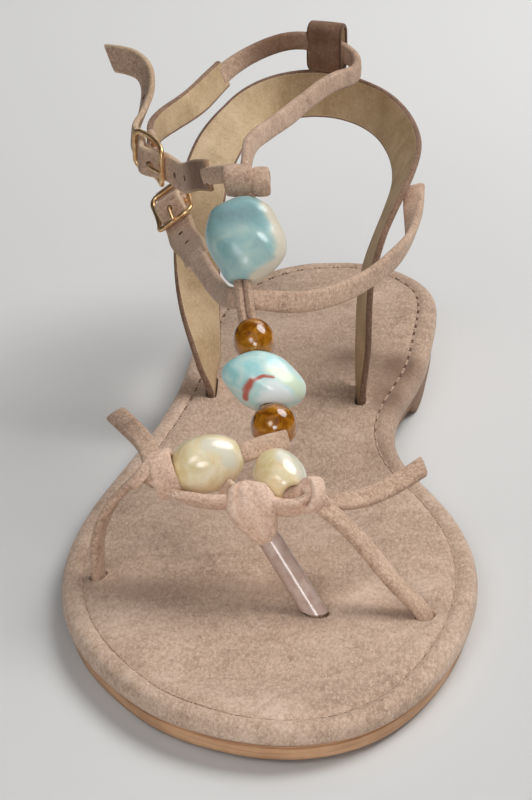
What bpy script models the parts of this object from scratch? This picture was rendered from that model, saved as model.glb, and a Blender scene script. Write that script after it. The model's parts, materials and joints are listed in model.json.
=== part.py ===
"""Beaded thong sandal for the right foot: sole, suede straps, beads and buckles as separate solids.

Sizes are millimetres. x runs to the outer (lateral) side, y from the back of the heel to the toe and z up.
Strap heights are measured from the footbed at the ball, sole heights from the floor.
"""

import math

import bmesh
import bpy
import numpy as np

MM = 0.001
GAP = 0.3

# Sole
SOLE_LENGTH = 252.0
SOLE_MIDDLE_X = 8.3
FOOTBED_TOP = 8.2
FOOTBED_THICKNESS = 4.3
FOOTBED_EDGE_RADIUS = 2.4
HEEL_RISE = 5.0
RISE_BACK_Y = 45.0
RISE_FRONT_Y = 135.0
TOE_SPRING = 1.5
SPRING_START_Y = 200.0
OUTSOLE_INSET = 1.3
OUTSOLE_BEVEL = 0.8
ARCH_RISE = 3.5
BREAST_Y = 73.0
BREAST_RUN = 4.0
ARCH_FRONT_Y = 125.0
OUTLINE_STATIONS = 38

# Edge of the sole at each section: y, inner (medial) x, outer (lateral) x
OUTLINE = (
    (0.0, -1.6, -1.6),
    (4.0, -16.0, 12.5),
    (10.0, -21.9, 19.2),
    (20.0, -27.2, 25.6),
    (35.0, -28.8, 30.5),
    (55.0, -27.5, 33.1),
    (75.0, -24.9, 34.6),
    (95.0, -19.5, 38.1),
    (115.0, -20.0, 43.4),
    (135.0, -28.0, 49.0),
    (155.0, -34.9, 53.0),
    (175.0, -37.8, 54.4),
    (195.0, -36.7, 52.2),
    (212.0, -33.0, 46.8),
    (228.0, -27.0, 38.0),
    (240.0, -20.0, 28.4),
    (248.0, -11.5, 16.8),
    (252.0, 1.3, 1.3),
)

# Slots punched through the footbed: name, x, y, direction x, direction y, length, width
SLOTS = (
    ("heel_inner", -10.0, 86.5, 0.0, 1.0, 11.2, 2.8),
    ("heel_outer", 27.0, 83.3, 0.0, 1.0, 11.2, 2.8),
    ("side_outer", 46.0, 181.0, 0.3, 0.95, 6.0, 3.2),
    ("side_inner", -26.4, 198.7, 0.42, 0.91, 6.0, 4.0),
    ("toe_post", -2.8, 197.9, 0.85, -0.53, 6.4, 4.4),
)

# Straps
CORD_THICKNESS = 2.0
BEAD_CORD = 3.0
BRANCH_CORD = 2.5
BAND_THICKNESS = 1.6
TONGUE_WIDTH = 7.5
TONGUE_THICKNESS = 1.6
SECTION_CHAMFER = 0.293

# Heel band, inner slot to outer slot: x, y, z, direction across the band, width
HEEL_BAND = (
    (-10.0, 86.5, -1.2, 0.0, 1.0, 0.0, 9.6),
    (-10.0, 86.5, 3.0, 0.0, 1.0, 0.0, 9.6),
    (-10.6, 84.5, 14.0, 0.0, 0.95, 0.3, 11.0),
    (-11.2, 79.0, 28.0, -0.15, 0.85, 0.5, 12.0),
    (-14.4, 70.5, 38.2, -0.35, 0.65, 0.7, 12.0),
    (-19.2, 57.0, 45.5, -0.5, 0.3, 0.8, 12.4),
    (-20.9, 42.0, 48.8, -0.55, 0.1, 0.83, 12.4),
    (-17.5, 24.0, 51.0, -0.5, 0.0, 0.87, 12.0),
    (-9.0, 8.5, 52.3, -0.15, 0.0, 1.0, 12.5),
    (2.0, 3.2, 53.3, 0.0, 0.0, 1.0, 13.0),
    (13.0, 9.5, 54.0, 0.4, 0.1, 0.85, 12.5),
    (22.5, 27.0, 53.8, 0.75, 0.0, 0.62, 11.2),
    (29.0, 49.0, 48.5, 0.87, 0.0, 0.42, 12.0),
    (31.0, 66.0, 36.0, 1.0, 0.0, 0.0, 12.0),
    (29.8, 77.0, 19.0, 0.8, 0.55, 0.3, 11.5),
    (27.6, 82.7, 8.6, 0.4, 0.9, 0.15, 10.5),
    (27.0, 83.3, 3.6, 0.0, 1.0, 0.0, 9.6),
    (27.0, 83.3, -1.2, 0.0, 1.0, 0.0, 9.6),
)
HEEL_LOOP_CENTRE = (0.5, 3.2, 66.2)
HEEL_LOOP_HEIGHT = 13.4
HEEL_LOOP_DEPTH = 6.2
HEEL_LOOP_WIDTH = 9.6
HEEL_LOOP_WALL = 1.3

# Ankle strap, knot to heel loop to buckle: x, y, z, direction across the strap, width
ANKLE_STRAP = (
    (15.4, 117.2, 73.8, 0.1, 0.1, 1.0, 5.0),
    (15.8, 109.0, 75.0, 0.2, 0.0, 1.0, 5.0),
    (12.0, 88.0, 73.1, 0.2, 0.1, 1.0, 5.0),
    (4.6, 57.0, 68.5, 0.2, 0.1, 1.0, 5.0),
    (-3.5, 30.0, 65.8, 0.1, 0.1, 1.0, 5.0),
    (-7.4, 15.0, 64.2, 0.0, 0.0, 1.0, 5.0),
    (-7.0, 7.4, 64.6, 0.0, 0.0, 1.0, 5.0),
    (-4.2, 3.6, 65.6, 0.0, 0.0, 1.0, 5.0),
    (0.5, 3.1, 66.8, 0.0, 0.0, 1.0, 5.0),
    (6.0, 3.9, 68.0, 0.1, 0.0, 1.0, 5.0),
    (15.5, 11.0, 68.6, 0.25, 0.1, 0.95, 5.0),
    (25.5, 25.0, 66.8, 0.4, 0.1, 0.9, 6.0),
    (33.0, 47.0, 65.0, 0.5, 0.1, 0.85, 6.8),
)

# Ankle tongue before and after its buckle: x, y, z, direction across the strap, width
ANKLE_TONGUE_FRONT = (
    (18.9, 117.6, 71.2, 0.0, 0.2, 1.0, 4.5),
    (24.0, 111.5, 69.4, 0.0, 0.2, 1.0, 4.5),
    (24.8, 110.5, 69.1, 0.0, 0.2, 1.0, 7.5),
    (29.2, 101.5, 65.6, 0.0, 0.15, 1.0, 7.5),
)
ANKLE_TONGUE_END = (
    (45.0, 66.2, 66.0, -0.3, 0.3, 0.9, 7.5),
    (43.2, 59.6, 71.0, -0.4, 0.5, 0.75, 7.5),
    (44.4, 54.3, 75.8, -0.3, 0.4, 0.85, 7.5),
    (48.0, 51.3, 77.2, -0.1, 0.1, 1.0, 7.4),
    (53.0, 49.0, 77.4, 0.1, -0.15, 1.0, 7.0),
)

# Cross strap, from the crossing outwards: x, y, z, direction across the strap, width
CROSS_INNER = (
    (16.5, 142.2, 50.5, 0.0, -0.67, 0.75, 5.0),
    (14.9, 142.0, 50.3, 0.0, -0.67, 0.75, 5.0),
    (4.7, 136.0, 47.0, 0.0, -0.4, 0.9, 5.0),
    (-7.0, 122.5, 44.4, 0.0, -0.2, 1.0, 5.0),
    (-17.9, 98.0, 42.9, 0.0, 0.0, 1.0, 5.0),
    (-22.3, 76.0, 42.4, -0.1, 0.0, 1.0, 5.0),
    (-22.0, 65.0, 44.0, -0.35, 0.1, 0.9, 5.0),
    (-21.7, 60.0, 45.3, -0.45, 0.1, 0.9, 5.0),
)
CROSS_OUTER = (
    (13.3, 141.8, 50.2, 0.0, -0.67, 0.75, 5.0),
    (14.9, 142.0, 50.3, 0.0, -0.67, 0.75, 5.0),
    (20.5, 132.0, 47.3, -0.2, -0.4, 0.85, 5.0),
    (26.0, 114.5, 46.6, -0.6, -0.1, 0.8, 5.0),
    (28.0, 107.5, 46.5, -0.7, -0.1, 0.7, 5.0),
    (28.3, 106.5, 46.5, -0.7, -0.1, 0.7, 7.5),
    (30.2, 98.0, 46.0, -0.75, -0.1, 0.65, 7.5),
)
TAB_START = (
    (31.2, 53.0, 45.8, -0.3, 0.0, 0.95, 6.0),
    (34.9, 61.5, 47.4, -0.6, 0.0, 0.8, 6.0),
)

# Buckles, in mm along the strap and square to its face
BUCKLE_LENGTH = 14.0
BUCKLE_WIDTH = 9.6
BUCKLE_CORNER = 2.0
BUCKLE_WIRE = 1.3
BUCKLE_ARCH = 1.5
BAR_DIAMETER = 1.2
PRONG_DIAMETER = 1.0
TAB_RING_OUTER = 1.8
TAB_RING_INNER = 0.9
TAB_RING_WIDTH = 2.2
TAB_RING_OFFSET = 2.2
# Strap through the buckle: under the near bar, over the centre bar, under the far bar
WEAVE = ((-12.0, -2.0), (-7.0, -1.85), (-3.5, -0.3), (0.0, 1.5), (3.5, -0.3), (7.0, -1.85), (11.0, -2.2))
TAB_WEAVE = ((7.0, -4.4), (3.5, -3.2), (1.2, -2.5))
PRONG_PATH = ((-1.45, -1.5), (-2.0, -0.2), (-3.0, 1.3), (-5.0, 1.75), (-7.0, 1.5), (-8.2, 1.2))
# Buckle: name, centre, direction along the strap, direction off its face
BUCKLES = {
    "upper": ((41.3, 82.0, 62.6), (0.54, -0.857, 0.11), (0.863, 0.537, -0.05)),
    "lower": ((36.6, 78.0, 49.1), (0.22, -0.95, 0.2), (0.55, 0.3, 0.78)),
}

# Beads: name, centre, axis, length along the axis, width, depth, lobes, lobe depth
BEADS = (
    ("bead_cream_outer", (21.3, 183.0, 28.0), (0.93, 0.3, -0.2), 15.2, 12.8, 11.4, 2, 0.0),
    ("bead_cream_inner", (5.4, 182.4, 25.0), (-0.45, 0.85, -0.27), 12.0, 11.4, 10.6, 2, 0.0),
    ("bead_amber_lower", (7.3, 168.0, 30.5), (0.25, -0.74, 0.62), 8.4, 10.4, 10.0, 2, 0.0),
    ("bead_marbled", (10.0, 160.0, 37.6), (0.23, -0.75, 0.62), 12.4, 18.0, 12.5, 3, 0.05),
    ("bead_amber_upper", (12.4, 151.5, 44.0), (0.22, -0.8, 0.56), 8.4, 9.4, 9.2, 2, 0.0),
    ("bead_teal", (15.4, 132.5, 60.5), (-0.01, -0.67, 0.75), 20.0, 17.5, 12.5, 3, 0.06),
)
BEAD_BORE = 2.1
BEAD_LIP = 0.7
BEAD_FULLNESS = 0.8

# Cords through the beads: x, y, z
INSTEP_CORD = (
    (5.9, 172.3, 27.0),
    (7.3, 168.0, 30.5),
    (10.0, 160.0, 37.6),
    (12.4, 151.5, 44.0),
    (14.2, 146.0, 47.5),
    (14.9, 142.0, 50.3),
    (15.5, 139.0, 53.2),
    (15.4, 132.5, 60.5),
    (15.3, 125.8, 68.0),
    (14.8, 123.4, 70.8),
)
OUTER_BRANCH = (
    (6.3, 171.0, 28.0),
    (6.4, 172.9, 27.3),
    (8.2, 175.1, 28.3),
    (11.2, 178.2, 29.3),
    (14.2, 180.7, 29.5),
    (21.3, 183.0, 28.0),
    (28.4, 185.3, 26.5),
)
INNER_BRANCH = (
    (6.3, 171.0, 28.0),
    (6.4, 172.8, 27.0),
    (8.2, 175.2, 27.1),
    (8.1, 177.3, 26.6),
    (6.8, 179.9, 25.8),
    (5.4, 182.4, 25.0),
    (2.7, 187.5, 23.4),
    (1.6, 188.2, 23.1),
)

# Knots: centre, half sizes along x, y and z
TOP_KNOT = ((14.6, 122.6, 71.6), (5.4, 4.2, 3.9))
OUTER_KNOT = ((32.6, 185.6, 27.0), (3.2, 3.8, 4.6))
INNER_KNOT = ((-1.8, 190.2, 23.8), (3.4, 3.4, 4.0))

# Toe post and its sleeve: x, y, z
TOE_POST = (
    (-3.3, 198.1, -4.1),
    (-3.1, 198.0, -1.6),
    (-2.0, 197.4, 0.6),
    (2.7, 194.5, 7.4),
    (7.4, 191.5, 14.2),
)
POST_DIAMETER = 3.4
SLEEVE_OUTER = 5.2
SLEEVE_INNER = 4.0

# Toe wrap, arms, side straps and tails: x, y, z, direction across the strap, width
TOE_WRAP = (
    (8.2, 191.0, 15.3, 0.8, 0.5, 0.0, 6.0),
    (9.4, 191.3, 18.0, 0.95, 0.15, 0.0, 9.0),
    (10.9, 191.6, 21.5, 0.97, 0.05, 0.0, 11.4),
    (12.2, 191.2, 24.8, 0.97, 0.05, 0.0, 9.6),
    (12.8, 190.6, 27.2, 0.97, 0.1, 0.0, 5.2),
)
WRAP_THICKNESS = 3.8
THONG_ARMS = (
    (32.6, 186.0, 25.4, 0.3, 0.8, 0.5, 5.0),
    (28.4, 188.2, 23.4, 0.1, 0.85, 0.5, 5.0),
    (24.0, 189.6, 22.6, 0.0, 0.85, 0.5, 5.0),
    (17.6, 190.8, 22.6, 0.0, 0.85, 0.5, 5.0),
    (11.6, 190.8, 23.4, 0.0, 0.85, 0.5, 5.0),
    (6.2, 191.4, 22.6, 0.0, 0.85, 0.5, 5.0),
    (2.4, 191.6, 22.2, 0.1, 0.85, 0.5, 5.0),
    (-1.8, 190.2, 23.6, 0.4, 0.8, 0.5, 5.0),
)
SIDE_OUTER = (
    (32.6, 185.6, 27.0, 0.1, 0.9, 0.4, 5.0),
    (38.0, 182.4, 22.8, 0.2, 0.95, 0.2, 5.0),
    (43.0, 182.2, 16.6, 0.3, 0.95, 0.0, 5.0),
    (45.6, 182.2, 9.4, 0.3, 0.95, 0.0, 5.0),
    (46.0, 181.4, 3.4, 0.3, 0.95, 0.0, 5.0),
    (46.0, 181.0, -0.5, 0.3, 0.95, 0.0, 5.0),
    (46.0, 181.0, -4.1, 0.3, 0.95, 0.0, 5.0),
)
SIDE_INNER = (
    (-1.8, 190.2, 23.4, 0.42, 0.91, 0.0, 5.0),
    (-8.6, 191.2, 17.8, 0.42, 0.91, 0.0, 5.0),
    (-15.2, 193.8, 11.2, 0.42, 0.91, 0.0, 5.0),
    (-21.8, 197.0, 4.6, 0.42, 0.91, 0.0, 5.0),
    (-25.4, 198.4, 1.0, 0.42, 0.91, 0.0, 5.0),
    (-26.6, 198.8, -1.6, 0.42, 0.91, 0.0, 5.0),
    (-26.9, 198.9, -4.1, 0.42, 0.91, 0.0, 5.0),
)
TAIL_OUTER = (
    (32.6, 185.6, 27.2, 0.9, 0.35, 0.2, 4.8),
    (34.6, 176.8, 28.8, 0.8, 0.35, -0.3, 4.8),
    (38.6, 168.4, 29.4, 0.7, 0.3, -0.55, 4.8),
    (42.9, 160.0, 29.3, 0.7, 0.3, -0.6, 4.8),
)
TAIL_INNER = (
    (-1.8, 190.2, 23.4, 0.6, -0.6, 0.5, 4.6),
    (-6.5, 186.6, 21.0, 0.6, -0.6, 0.5, 4.6),
    (-11.8, 182.0, 19.4, 0.6, -0.6, 0.5, 4.6),
    (-18.6, 175.8, 19.6, 0.6, -0.6, 0.5, 4.6),
    (-25.6, 169.2, 21.4, 0.6, -0.6, 0.5, 4.6),
)

# Finish: colour as seen, roughness, metallic
FINISHES = {
    "suede": ((190, 160, 140), 0.9, 0.0),
    "outsole_rubber": ((190, 138, 98), 0.6, 0.0),
    "clear_sleeve": ((196, 166, 170), 0.2, 0.0),
    "cream_stone": ((226, 216, 170), 0.25, 0.0),
    "amber_glass": ((150, 84, 14), 0.12, 0.0),
    "teal_stone": ((150, 198, 200), 0.25, 0.0),
    "gold_metal": ((214, 172, 110), 0.25, 1.0),
}


def material(finish):
    """Principled material for one of the finishes, made once."""
    found = bpy.data.materials.get(finish)
    if found:
        return found
    colour, roughness, metallic = FINISHES[finish]
    made = bpy.data.materials.new(finish)
    made.use_nodes = True
    shader = made.node_tree.nodes["Principled BSDF"]
    shader.inputs["Base Color"].default_value = [(c / 255) ** 2.2 for c in colour] + [1.0]
    shader.inputs["Roughness"].default_value = roughness
    shader.inputs["Metallic"].default_value = metallic
    return made


def place(points, base=0.0):
    """Sandal millimetres to metres, with the origin under the middle of the sole."""
    moved = np.asarray(points, float) - (SOLE_MIDDLE_X, SOLE_LENGTH / 2, -base)
    return moved * MM


def solid(name, vertices, faces, finish):
    """Object from vertices in metres and faces, with its normals out and its round sides smooth."""
    mesh = bpy.data.meshes.new(name)
    mesh.from_pydata([tuple(v) for v in vertices], [], faces)
    edit = bmesh.new()
    edit.from_mesh(mesh)
    bmesh.ops.recalc_face_normals(edit, faces=edit.faces)
    edit.to_mesh(mesh)
    edit.free()
    made = bpy.data.objects.new(name, mesh)
    bpy.context.scene.collection.objects.link(made)
    mesh.materials.append(material(finish))
    smooth(mesh)
    return made


def smooth(mesh):
    mesh.shade_smooth()
    mesh.set_sharp_from_angle(angle=math.radians(40))


def combine(base, operand, operation):
    """Apply a Boolean of the operand to the base, then remove the operand."""
    modifier = base.modifiers.new(operation.lower(), "BOOLEAN")
    modifier.operation = operation
    modifier.solver = "EXACT"
    modifier.object = operand
    depsgraph = bpy.context.evaluated_depsgraph_get()
    result = bpy.data.meshes.new_from_object(base.evaluated_get(depsgraph))
    base.modifiers.remove(modifier)
    base.data = result
    bpy.data.objects.remove(operand)
    smooth(result)


def fuse(pieces):
    """Union of several solids into the first one."""
    base = pieces[0]
    for piece in pieces[1:]:
        combine(base, piece, "UNION")
    return base


def unit(vector):
    vector = np.asarray(vector, float)
    return vector / np.linalg.norm(vector, axis=-1, keepdims=True)


def natural_spline(knots, values, reads):
    """Natural cubic spline through values at the knots, evaluated at reads."""
    steps = np.diff(knots)
    count = len(knots)
    system = np.eye(count)
    right = np.zeros_like(values)
    for i in range(1, count - 1):
        system[i, i - 1:i + 2] = steps[i - 1], 2 * (steps[i - 1] + steps[i]), steps[i]
        slope_after = (values[i + 1] - values[i]) / steps[i]
        slope_before = (values[i] - values[i - 1]) / steps[i - 1]
        right[i] = 6 * (slope_after - slope_before)
    bend = np.linalg.solve(system, right)
    i = np.clip(np.searchsorted(knots, reads) - 1, 0, count - 2)
    step = steps[i][:, None]
    after = (reads - knots[i])[:, None]
    before = step - after
    curve = (bend[i] * before ** 3 + bend[i + 1] * after ** 3) / (6 * step)
    line_before = (values[i] / step - bend[i] * step / 6) * before
    line_after = (values[i + 1] / step - bend[i + 1] * step / 6) * after
    return curve + line_before + line_after


def chord_lengths(points):
    return np.concatenate([[0.0], np.cumsum(np.linalg.norm(np.diff(points, axis=0), axis=1))])


def strap(name, rows, thickness, spacing=3.0, finish="suede"):
    """Ribbon along rows of x, y, z, direction across and width, with chamfered edges and flat ends."""
    rows = np.asarray(rows, float)
    knots = chord_lengths(rows[:, :3])
    count = max(3, round(knots[-1] / spacing) + 1)
    reads = np.linspace(0.0, knots[-1], count)
    # every row whose width steps keeps a section of its own
    width_steps = knots[1:][np.abs(np.diff(rows[:, 6])) > 1.0]
    reads = np.unique(np.concatenate([reads, width_steps]))
    path = natural_spline(knots, rows[:, :3], reads)
    tangent = unit(np.gradient(path, reads, axis=0))
    across = np.stack([np.interp(reads, knots, rows[:, c]) for c in (3, 4, 5)], axis=1)
    across = unit(across - (across * tangent).sum(1, keepdims=True) * tangent)
    off_face = np.cross(tangent, across)
    half_width = np.interp(reads, knots, rows[:, 6])[:, None] / 2
    return sweep(name, path, across, off_face, half_width, thickness / 2, finish)


def sweep(name, path, across, off_face, half_width, half_thickness, finish, closed=False):
    """Eight-sided section swept along a path with given directions, open with caps or closed."""
    chamfer = 2 * half_thickness * SECTION_CHAMFER
    corners = [(1, -1, 0, 1), (1, 1, 0, 1), (1, 1, 1, 0), (-1, 1, 1, 0),
               (-1, 1, 0, 1), (-1, -1, 0, 1), (-1, -1, 1, 0), (1, -1, 1, 0)]
    rings = []
    for side, face, cut_side, cut_face in corners:
        reach = side * (half_width - cut_side * chamfer)
        height = face * (half_thickness - cut_face * chamfer)
        rings.append(path + across * reach + off_face * height)
    rings = np.stack(rings, axis=1)
    count, sides = rings.shape[:2]
    faces = []
    for ring in range(count if closed else count - 1):
        following = (ring + 1) % count
        for side in range(sides):
            turned = (side + 1) % sides
            faces.append((ring * sides + side, ring * sides + turned,
                          following * sides + turned, following * sides + side))
    if not closed:
        faces.append(tuple(range(sides)))
        faces.append(tuple(range((count - 1) * sides, count * sides)))
    return solid(name, place(rings.reshape(-1, 3), FOOTBED_TOP), faces, finish)


def cord(name, points, diameter, across=(0.0, 0.0, 1.0), spacing=3.0, finish="suede"):
    """Round cord through points, as a strap as thick as it is wide."""
    rows = [(*point, *across, diameter) for point in points]
    return strap(name, rows, diameter, spacing, finish)


def ellipsoid(name, centre, half_sizes, finish="suede"):
    """Closed ellipsoid for a tied knot."""
    edit = bmesh.new()
    bmesh.ops.create_uvsphere(edit, u_segments=12, v_segments=8, radius=1.0)
    vertices = np.array([v.co[:] for v in edit.verts]) * half_sizes + centre
    faces = [tuple(v.index for v in face.verts) for face in edit.faces]
    edit.free()
    return solid(name, place(vertices, FOOTBED_TOP), faces, finish)


def rise(y, start, end):
    """0 before start, 1 after end and an even S-curve between them."""
    t = np.clip((np.asarray(y, float) - start) / (end - start), 0.0, 1.0)
    return t * t * (3 - 2 * t)


def toe_spring(y):
    t = np.clip((np.asarray(y, float) - SPRING_START_Y) / (SOLE_LENGTH - SPRING_START_Y), 0.0, 1.0)
    return TOE_SPRING * t * t


def footbed_top(y):
    return FOOTBED_TOP + HEEL_RISE * (1 - rise(y, RISE_BACK_Y, RISE_FRONT_Y)) + toe_spring(y)


def footbed_bottom(y):
    return footbed_top(y) - FOOTBED_THICKNESS


def outsole_bottom(y):
    """Flat under the heel and the ball, raised in the arch between them."""
    arch = rise(y, BREAST_Y, BREAST_Y + BREAST_RUN) * (1 - rise(y, BREAST_Y + BREAST_RUN, ARCH_FRONT_Y))
    return ARCH_RISE * arch + toe_spring(y)


def outline_loop(extra_stations=()):
    """Closed edge of the sole: heel tip, outer side, toe tip, inner side, in pairs of equal y."""
    table = np.array(OUTLINE)
    outer = table[:, [2, 0]]
    inner = table[-2:0:-1, [1, 0]]
    loop = np.concatenate([outer, inner])
    wrapped = np.concatenate([loop[-4:], loop, loop[:5]])
    knots = chord_lengths(wrapped)
    reads = np.linspace(knots[4], knots[4 + len(loop)], 1200)
    curve = natural_spline(knots, wrapped, reads)
    toe = int(curve[:, 1].argmax())
    turn = np.linspace(0.0, math.pi, OUTLINE_STATIONS + 1)
    stations = SOLE_LENGTH * (1 - np.cos(turn)) / 2
    stations = np.unique(np.concatenate([stations[1:-1], extra_stations]))
    outer_x = np.interp(stations, curve[:toe, 1], curve[:toe, 0])
    inner_x = np.interp(stations, curve[:toe:-1, 1], curve[:toe:-1, 0])
    outer_side = np.stack([outer_x, stations], axis=1)
    inner_side = np.stack([inner_x, stations], axis=1)[::-1]
    return np.concatenate([[OUTLINE[0][1::-1]], outer_side, [OUTLINE[-1][1::-1]], inner_side])


def plate(name, loop, rings, finish):
    """Closed plate from the sole's edge: each ring is an inset from the edge and a height function."""
    ahead = np.roll(loop, -1, axis=0) - np.roll(loop, 1, axis=0)
    inward = unit(np.stack([-ahead[:, 1], ahead[:, 0]], axis=1))
    vertices = []
    for inset, height in rings:
        edge = loop + inward * inset
        vertices.append(np.column_stack([edge, height(edge[:, 1])]))
    count = len(loop)
    pairs = count // 2
    faces = []
    for ring in range(len(rings) - 1):
        for i in range(count):
            j = (i + 1) % count
            faces.append((ring * count + i, ring * count + j, (ring + 1) * count + j, (ring + 1) * count + i))
    for start in (0, (len(rings) - 1) * count):
        faces.append((start, start + 1, start + count - 1))
        faces.append((start + pairs, start + pairs - 1, start + pairs + 1))
        for i in range(1, pairs - 1):
            faces.append((start + i, start + i + 1, start + count - i - 1, start + count - i))
    return solid(name, place(np.concatenate(vertices)), faces, finish)


def build_outsole():
    """Tan outsole with its heel in one piece, set in from the footbed's edge."""
    loop = outline_loop((BREAST_Y, BREAST_Y + BREAST_RUN / 2, BREAST_Y + BREAST_RUN))

    def above_bevel(y):
        return outsole_bottom(y) + OUTSOLE_BEVEL

    def top(y):
        return footbed_bottom(y) - GAP

    rings = (
        (OUTSOLE_INSET + OUTSOLE_BEVEL, outsole_bottom),
        (OUTSOLE_INSET, above_bevel),
        (OUTSOLE_INSET, top),
    )
    plate("outsole", loop, rings, "outsole_rubber")


def build_footbed():
    """Suede-wrapped footbed with a rounded upper edge and the strap slots cut through it."""
    rings = [(FOOTBED_EDGE_RADIUS / 3, footbed_bottom)]
    edge_height = FOOTBED_THICKNESS - FOOTBED_EDGE_RADIUS
    rings.append((0.0, lambda y: footbed_bottom(y) + FOOTBED_EDGE_RADIUS / 3))
    for step in range(3):
        turn = math.pi / 2 * step / 2
        inset = FOOTBED_EDGE_RADIUS * (1 - math.cos(turn))
        height = edge_height + FOOTBED_EDGE_RADIUS * math.sin(turn)
        rings.append((inset, lambda y, height=height: footbed_bottom(y) + height))
    footbed = plate("footbed", outline_loop(), rings, "suede")
    for slot in SLOTS:
        combine(footbed, slot_cutter(*slot), "DIFFERENCE")


def slot_cutter(name, x, y, direction_x, direction_y, length, width):
    """Upright slot with half-round ends."""
    along = unit((direction_x, direction_y))
    square = np.array((-along[1], along[0]))
    outline = []
    for end in (1, -1):
        for step in range(7):
            turn = math.pi * (step / 6 - 0.5)
            reach = end * ((length - width) / 2 + math.cos(turn) * width / 2)
            outline.append(np.array((x, y)) + along * reach + square * (end * math.sin(turn) * width / 2))
    count = len(outline)
    low = [(*point, FOOTBED_TOP - 3 * FOOTBED_THICKNESS) for point in outline]
    high = [(*point, FOOTBED_TOP + 3 * FOOTBED_THICKNESS) for point in outline]
    faces = [tuple(range(count)), tuple(range(count, 2 * count))]
    faces += [(i, (i + 1) % count, count + (i + 1) % count, count + i) for i in range(count)]
    return solid("slot_" + name, place(low + high), faces, "suede")


def bead(name, centre, axis, length, width, depth, lobes, lobe_depth, finish):
    """Turned bead with a bore, flattened to its width and depth and waved by its lobes."""
    rings, segments = 8, 16
    axis = unit(axis)
    side = np.array((0.0, 0.0, 1.0)) if abs(axis[0]) > 0.8 else np.array((1.0, 0.0, 0.0))
    side = unit(side - side.dot(axis) * axis)
    front = np.cross(axis, side)
    half = min(width, depth) / 2
    open_turn = math.asin(((BEAD_BORE + BEAD_LIP) / half) ** (1 / BEAD_FULLNESS))
    around = np.linspace(0.0, 2 * math.pi, segments, endpoint=False)
    vertices = []
    for turn in np.linspace(open_turn, math.pi - open_turn, rings):
        fullness = math.sin(turn) ** BEAD_FULLNESS
        swell = (math.sin(turn) ** 2 - math.sin(open_turn) ** 2) * lobe_depth
        wave = 1 + swell * np.cos(lobes * around + 2.2 * turn)
        blend = (math.sin(turn) - math.sin(open_turn)) / (1 - math.sin(open_turn))
        reach_side = fullness * (half + (width / 2 - half) * blend) * wave
        reach_front = fullness * (half + (depth / 2 - half) * blend) * wave
        height = -math.cos(turn) / math.cos(open_turn) * length / 2
        ring = np.outer(np.cos(around) * reach_side, side) + np.outer(np.sin(around) * reach_front, front)
        vertices.append(ring + axis * height + centre)
    for height in (length / 2, -length / 2):
        ring = np.outer(np.cos(around), side) + np.outer(np.sin(around), front)
        vertices.append(ring * BEAD_BORE + axis * height + centre)
    total = len(vertices)
    faces = []
    for ring in range(total):
        following = (ring + 1) % total
        for i in range(segments):
            j = (i + 1) % segments
            faces.append((ring * segments + i, ring * segments + j,
                          following * segments + j, following * segments + i))
    solid(name, place(np.concatenate(vertices), FOOTBED_TOP), faces, finish)


def build_beads():
    for name, *shape in BEADS:
        finish = "teal_stone"
        if "cream" in name:
            finish = "cream_stone"
        elif "amber" in name:
            finish = "amber_glass"
        bead(name, *shape, finish)


def build_toe_post_sleeve():
    """Clear tube over the toe post, cut flat where it stands on the footbed."""
    low, high = np.array(TOE_POST[-3]), np.array(TOE_POST[-1])
    slope = unit(high - low)
    foot = low - slope * SLEEVE_OUTER
    sleeve = cord("toe_post_sleeve", (foot, low, high), SLEEVE_OUTER, (1.0, 0.0, 0.0), 3.0, "clear_sleeve")
    ends = (foot - slope, low, high + slope)
    combine(sleeve, cord("sleeve_bore", ends, SLEEVE_INNER, (1.0, 0.0, 0.0), 3.0), "DIFFERENCE")
    reach = 2 * SLEEVE_OUTER
    corners = [(low[0] + x, low[1] + y, GAP + z) for z in (-reach, 0.0) for x in (-reach, reach)
               for y in (-reach, reach)]
    faces = [(0, 1, 3, 2), (4, 5, 7, 6), (0, 1, 5, 4), (2, 3, 7, 6), (0, 2, 6, 4), (1, 3, 7, 5)]
    combine(sleeve, solid("footbed_level", place(corners, FOOTBED_TOP), faces, "suede"), "DIFFERENCE")


def build_thong_strap():
    """Toe post, wrap, arms, knots, side straps and tails, joined at the knots."""
    post = cord("thong_strap", (*TOE_POST, TOE_WRAP[1][:3]), POST_DIAMETER, (1.0, 0.0, 0.0), 2.5)
    pieces = [
        post,
        strap("toe_wrap", TOE_WRAP, WRAP_THICKNESS, 4.0),
        strap("thong_arms", THONG_ARMS, CORD_THICKNESS, 4.0),
        strap("side_outer", SIDE_OUTER, CORD_THICKNESS, 4.0),
        strap("side_inner", SIDE_INNER, CORD_THICKNESS, 4.0),
        strap("tail_outer", TAIL_OUTER, CORD_THICKNESS, 4.0),
        strap("tail_inner", TAIL_INNER, CORD_THICKNESS, 4.0),
        ellipsoid("outer_knot", *OUTER_KNOT),
        ellipsoid("inner_knot", *INNER_KNOT),
    ]
    fuse(pieces)


def buckle_frame(name):
    """Centre, direction along the strap, direction across it and direction off its face."""
    centre, along, off_face = BUCKLES[name]
    along = unit(along)
    off_face = unit(np.array(off_face) - np.dot(off_face, along) * along)
    return np.array(centre), along, np.cross(along, off_face), off_face


def at_buckle(name, along_mm, off_mm, across_mm=0.0):
    centre, along, across, off_face = buckle_frame(name)
    return centre + along * along_mm + across * across_mm + off_face * off_mm


def woven_rows(name, table, width):
    """Strap rows at a buckle from a table of distance along and off its face."""
    across = buckle_frame(name)[2]
    return [(*at_buckle(name, along_mm, off_mm), *across, width) for along_mm, off_mm in table]


def prong_cutter(name):
    points = [at_buckle(name, along_mm, off_mm) for along_mm, off_mm in PRONG_PATH]
    return cord("prong_cutter", points, PRONG_DIAMETER + 2.4 * GAP, buckle_frame(name)[2], 1.3)


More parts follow.
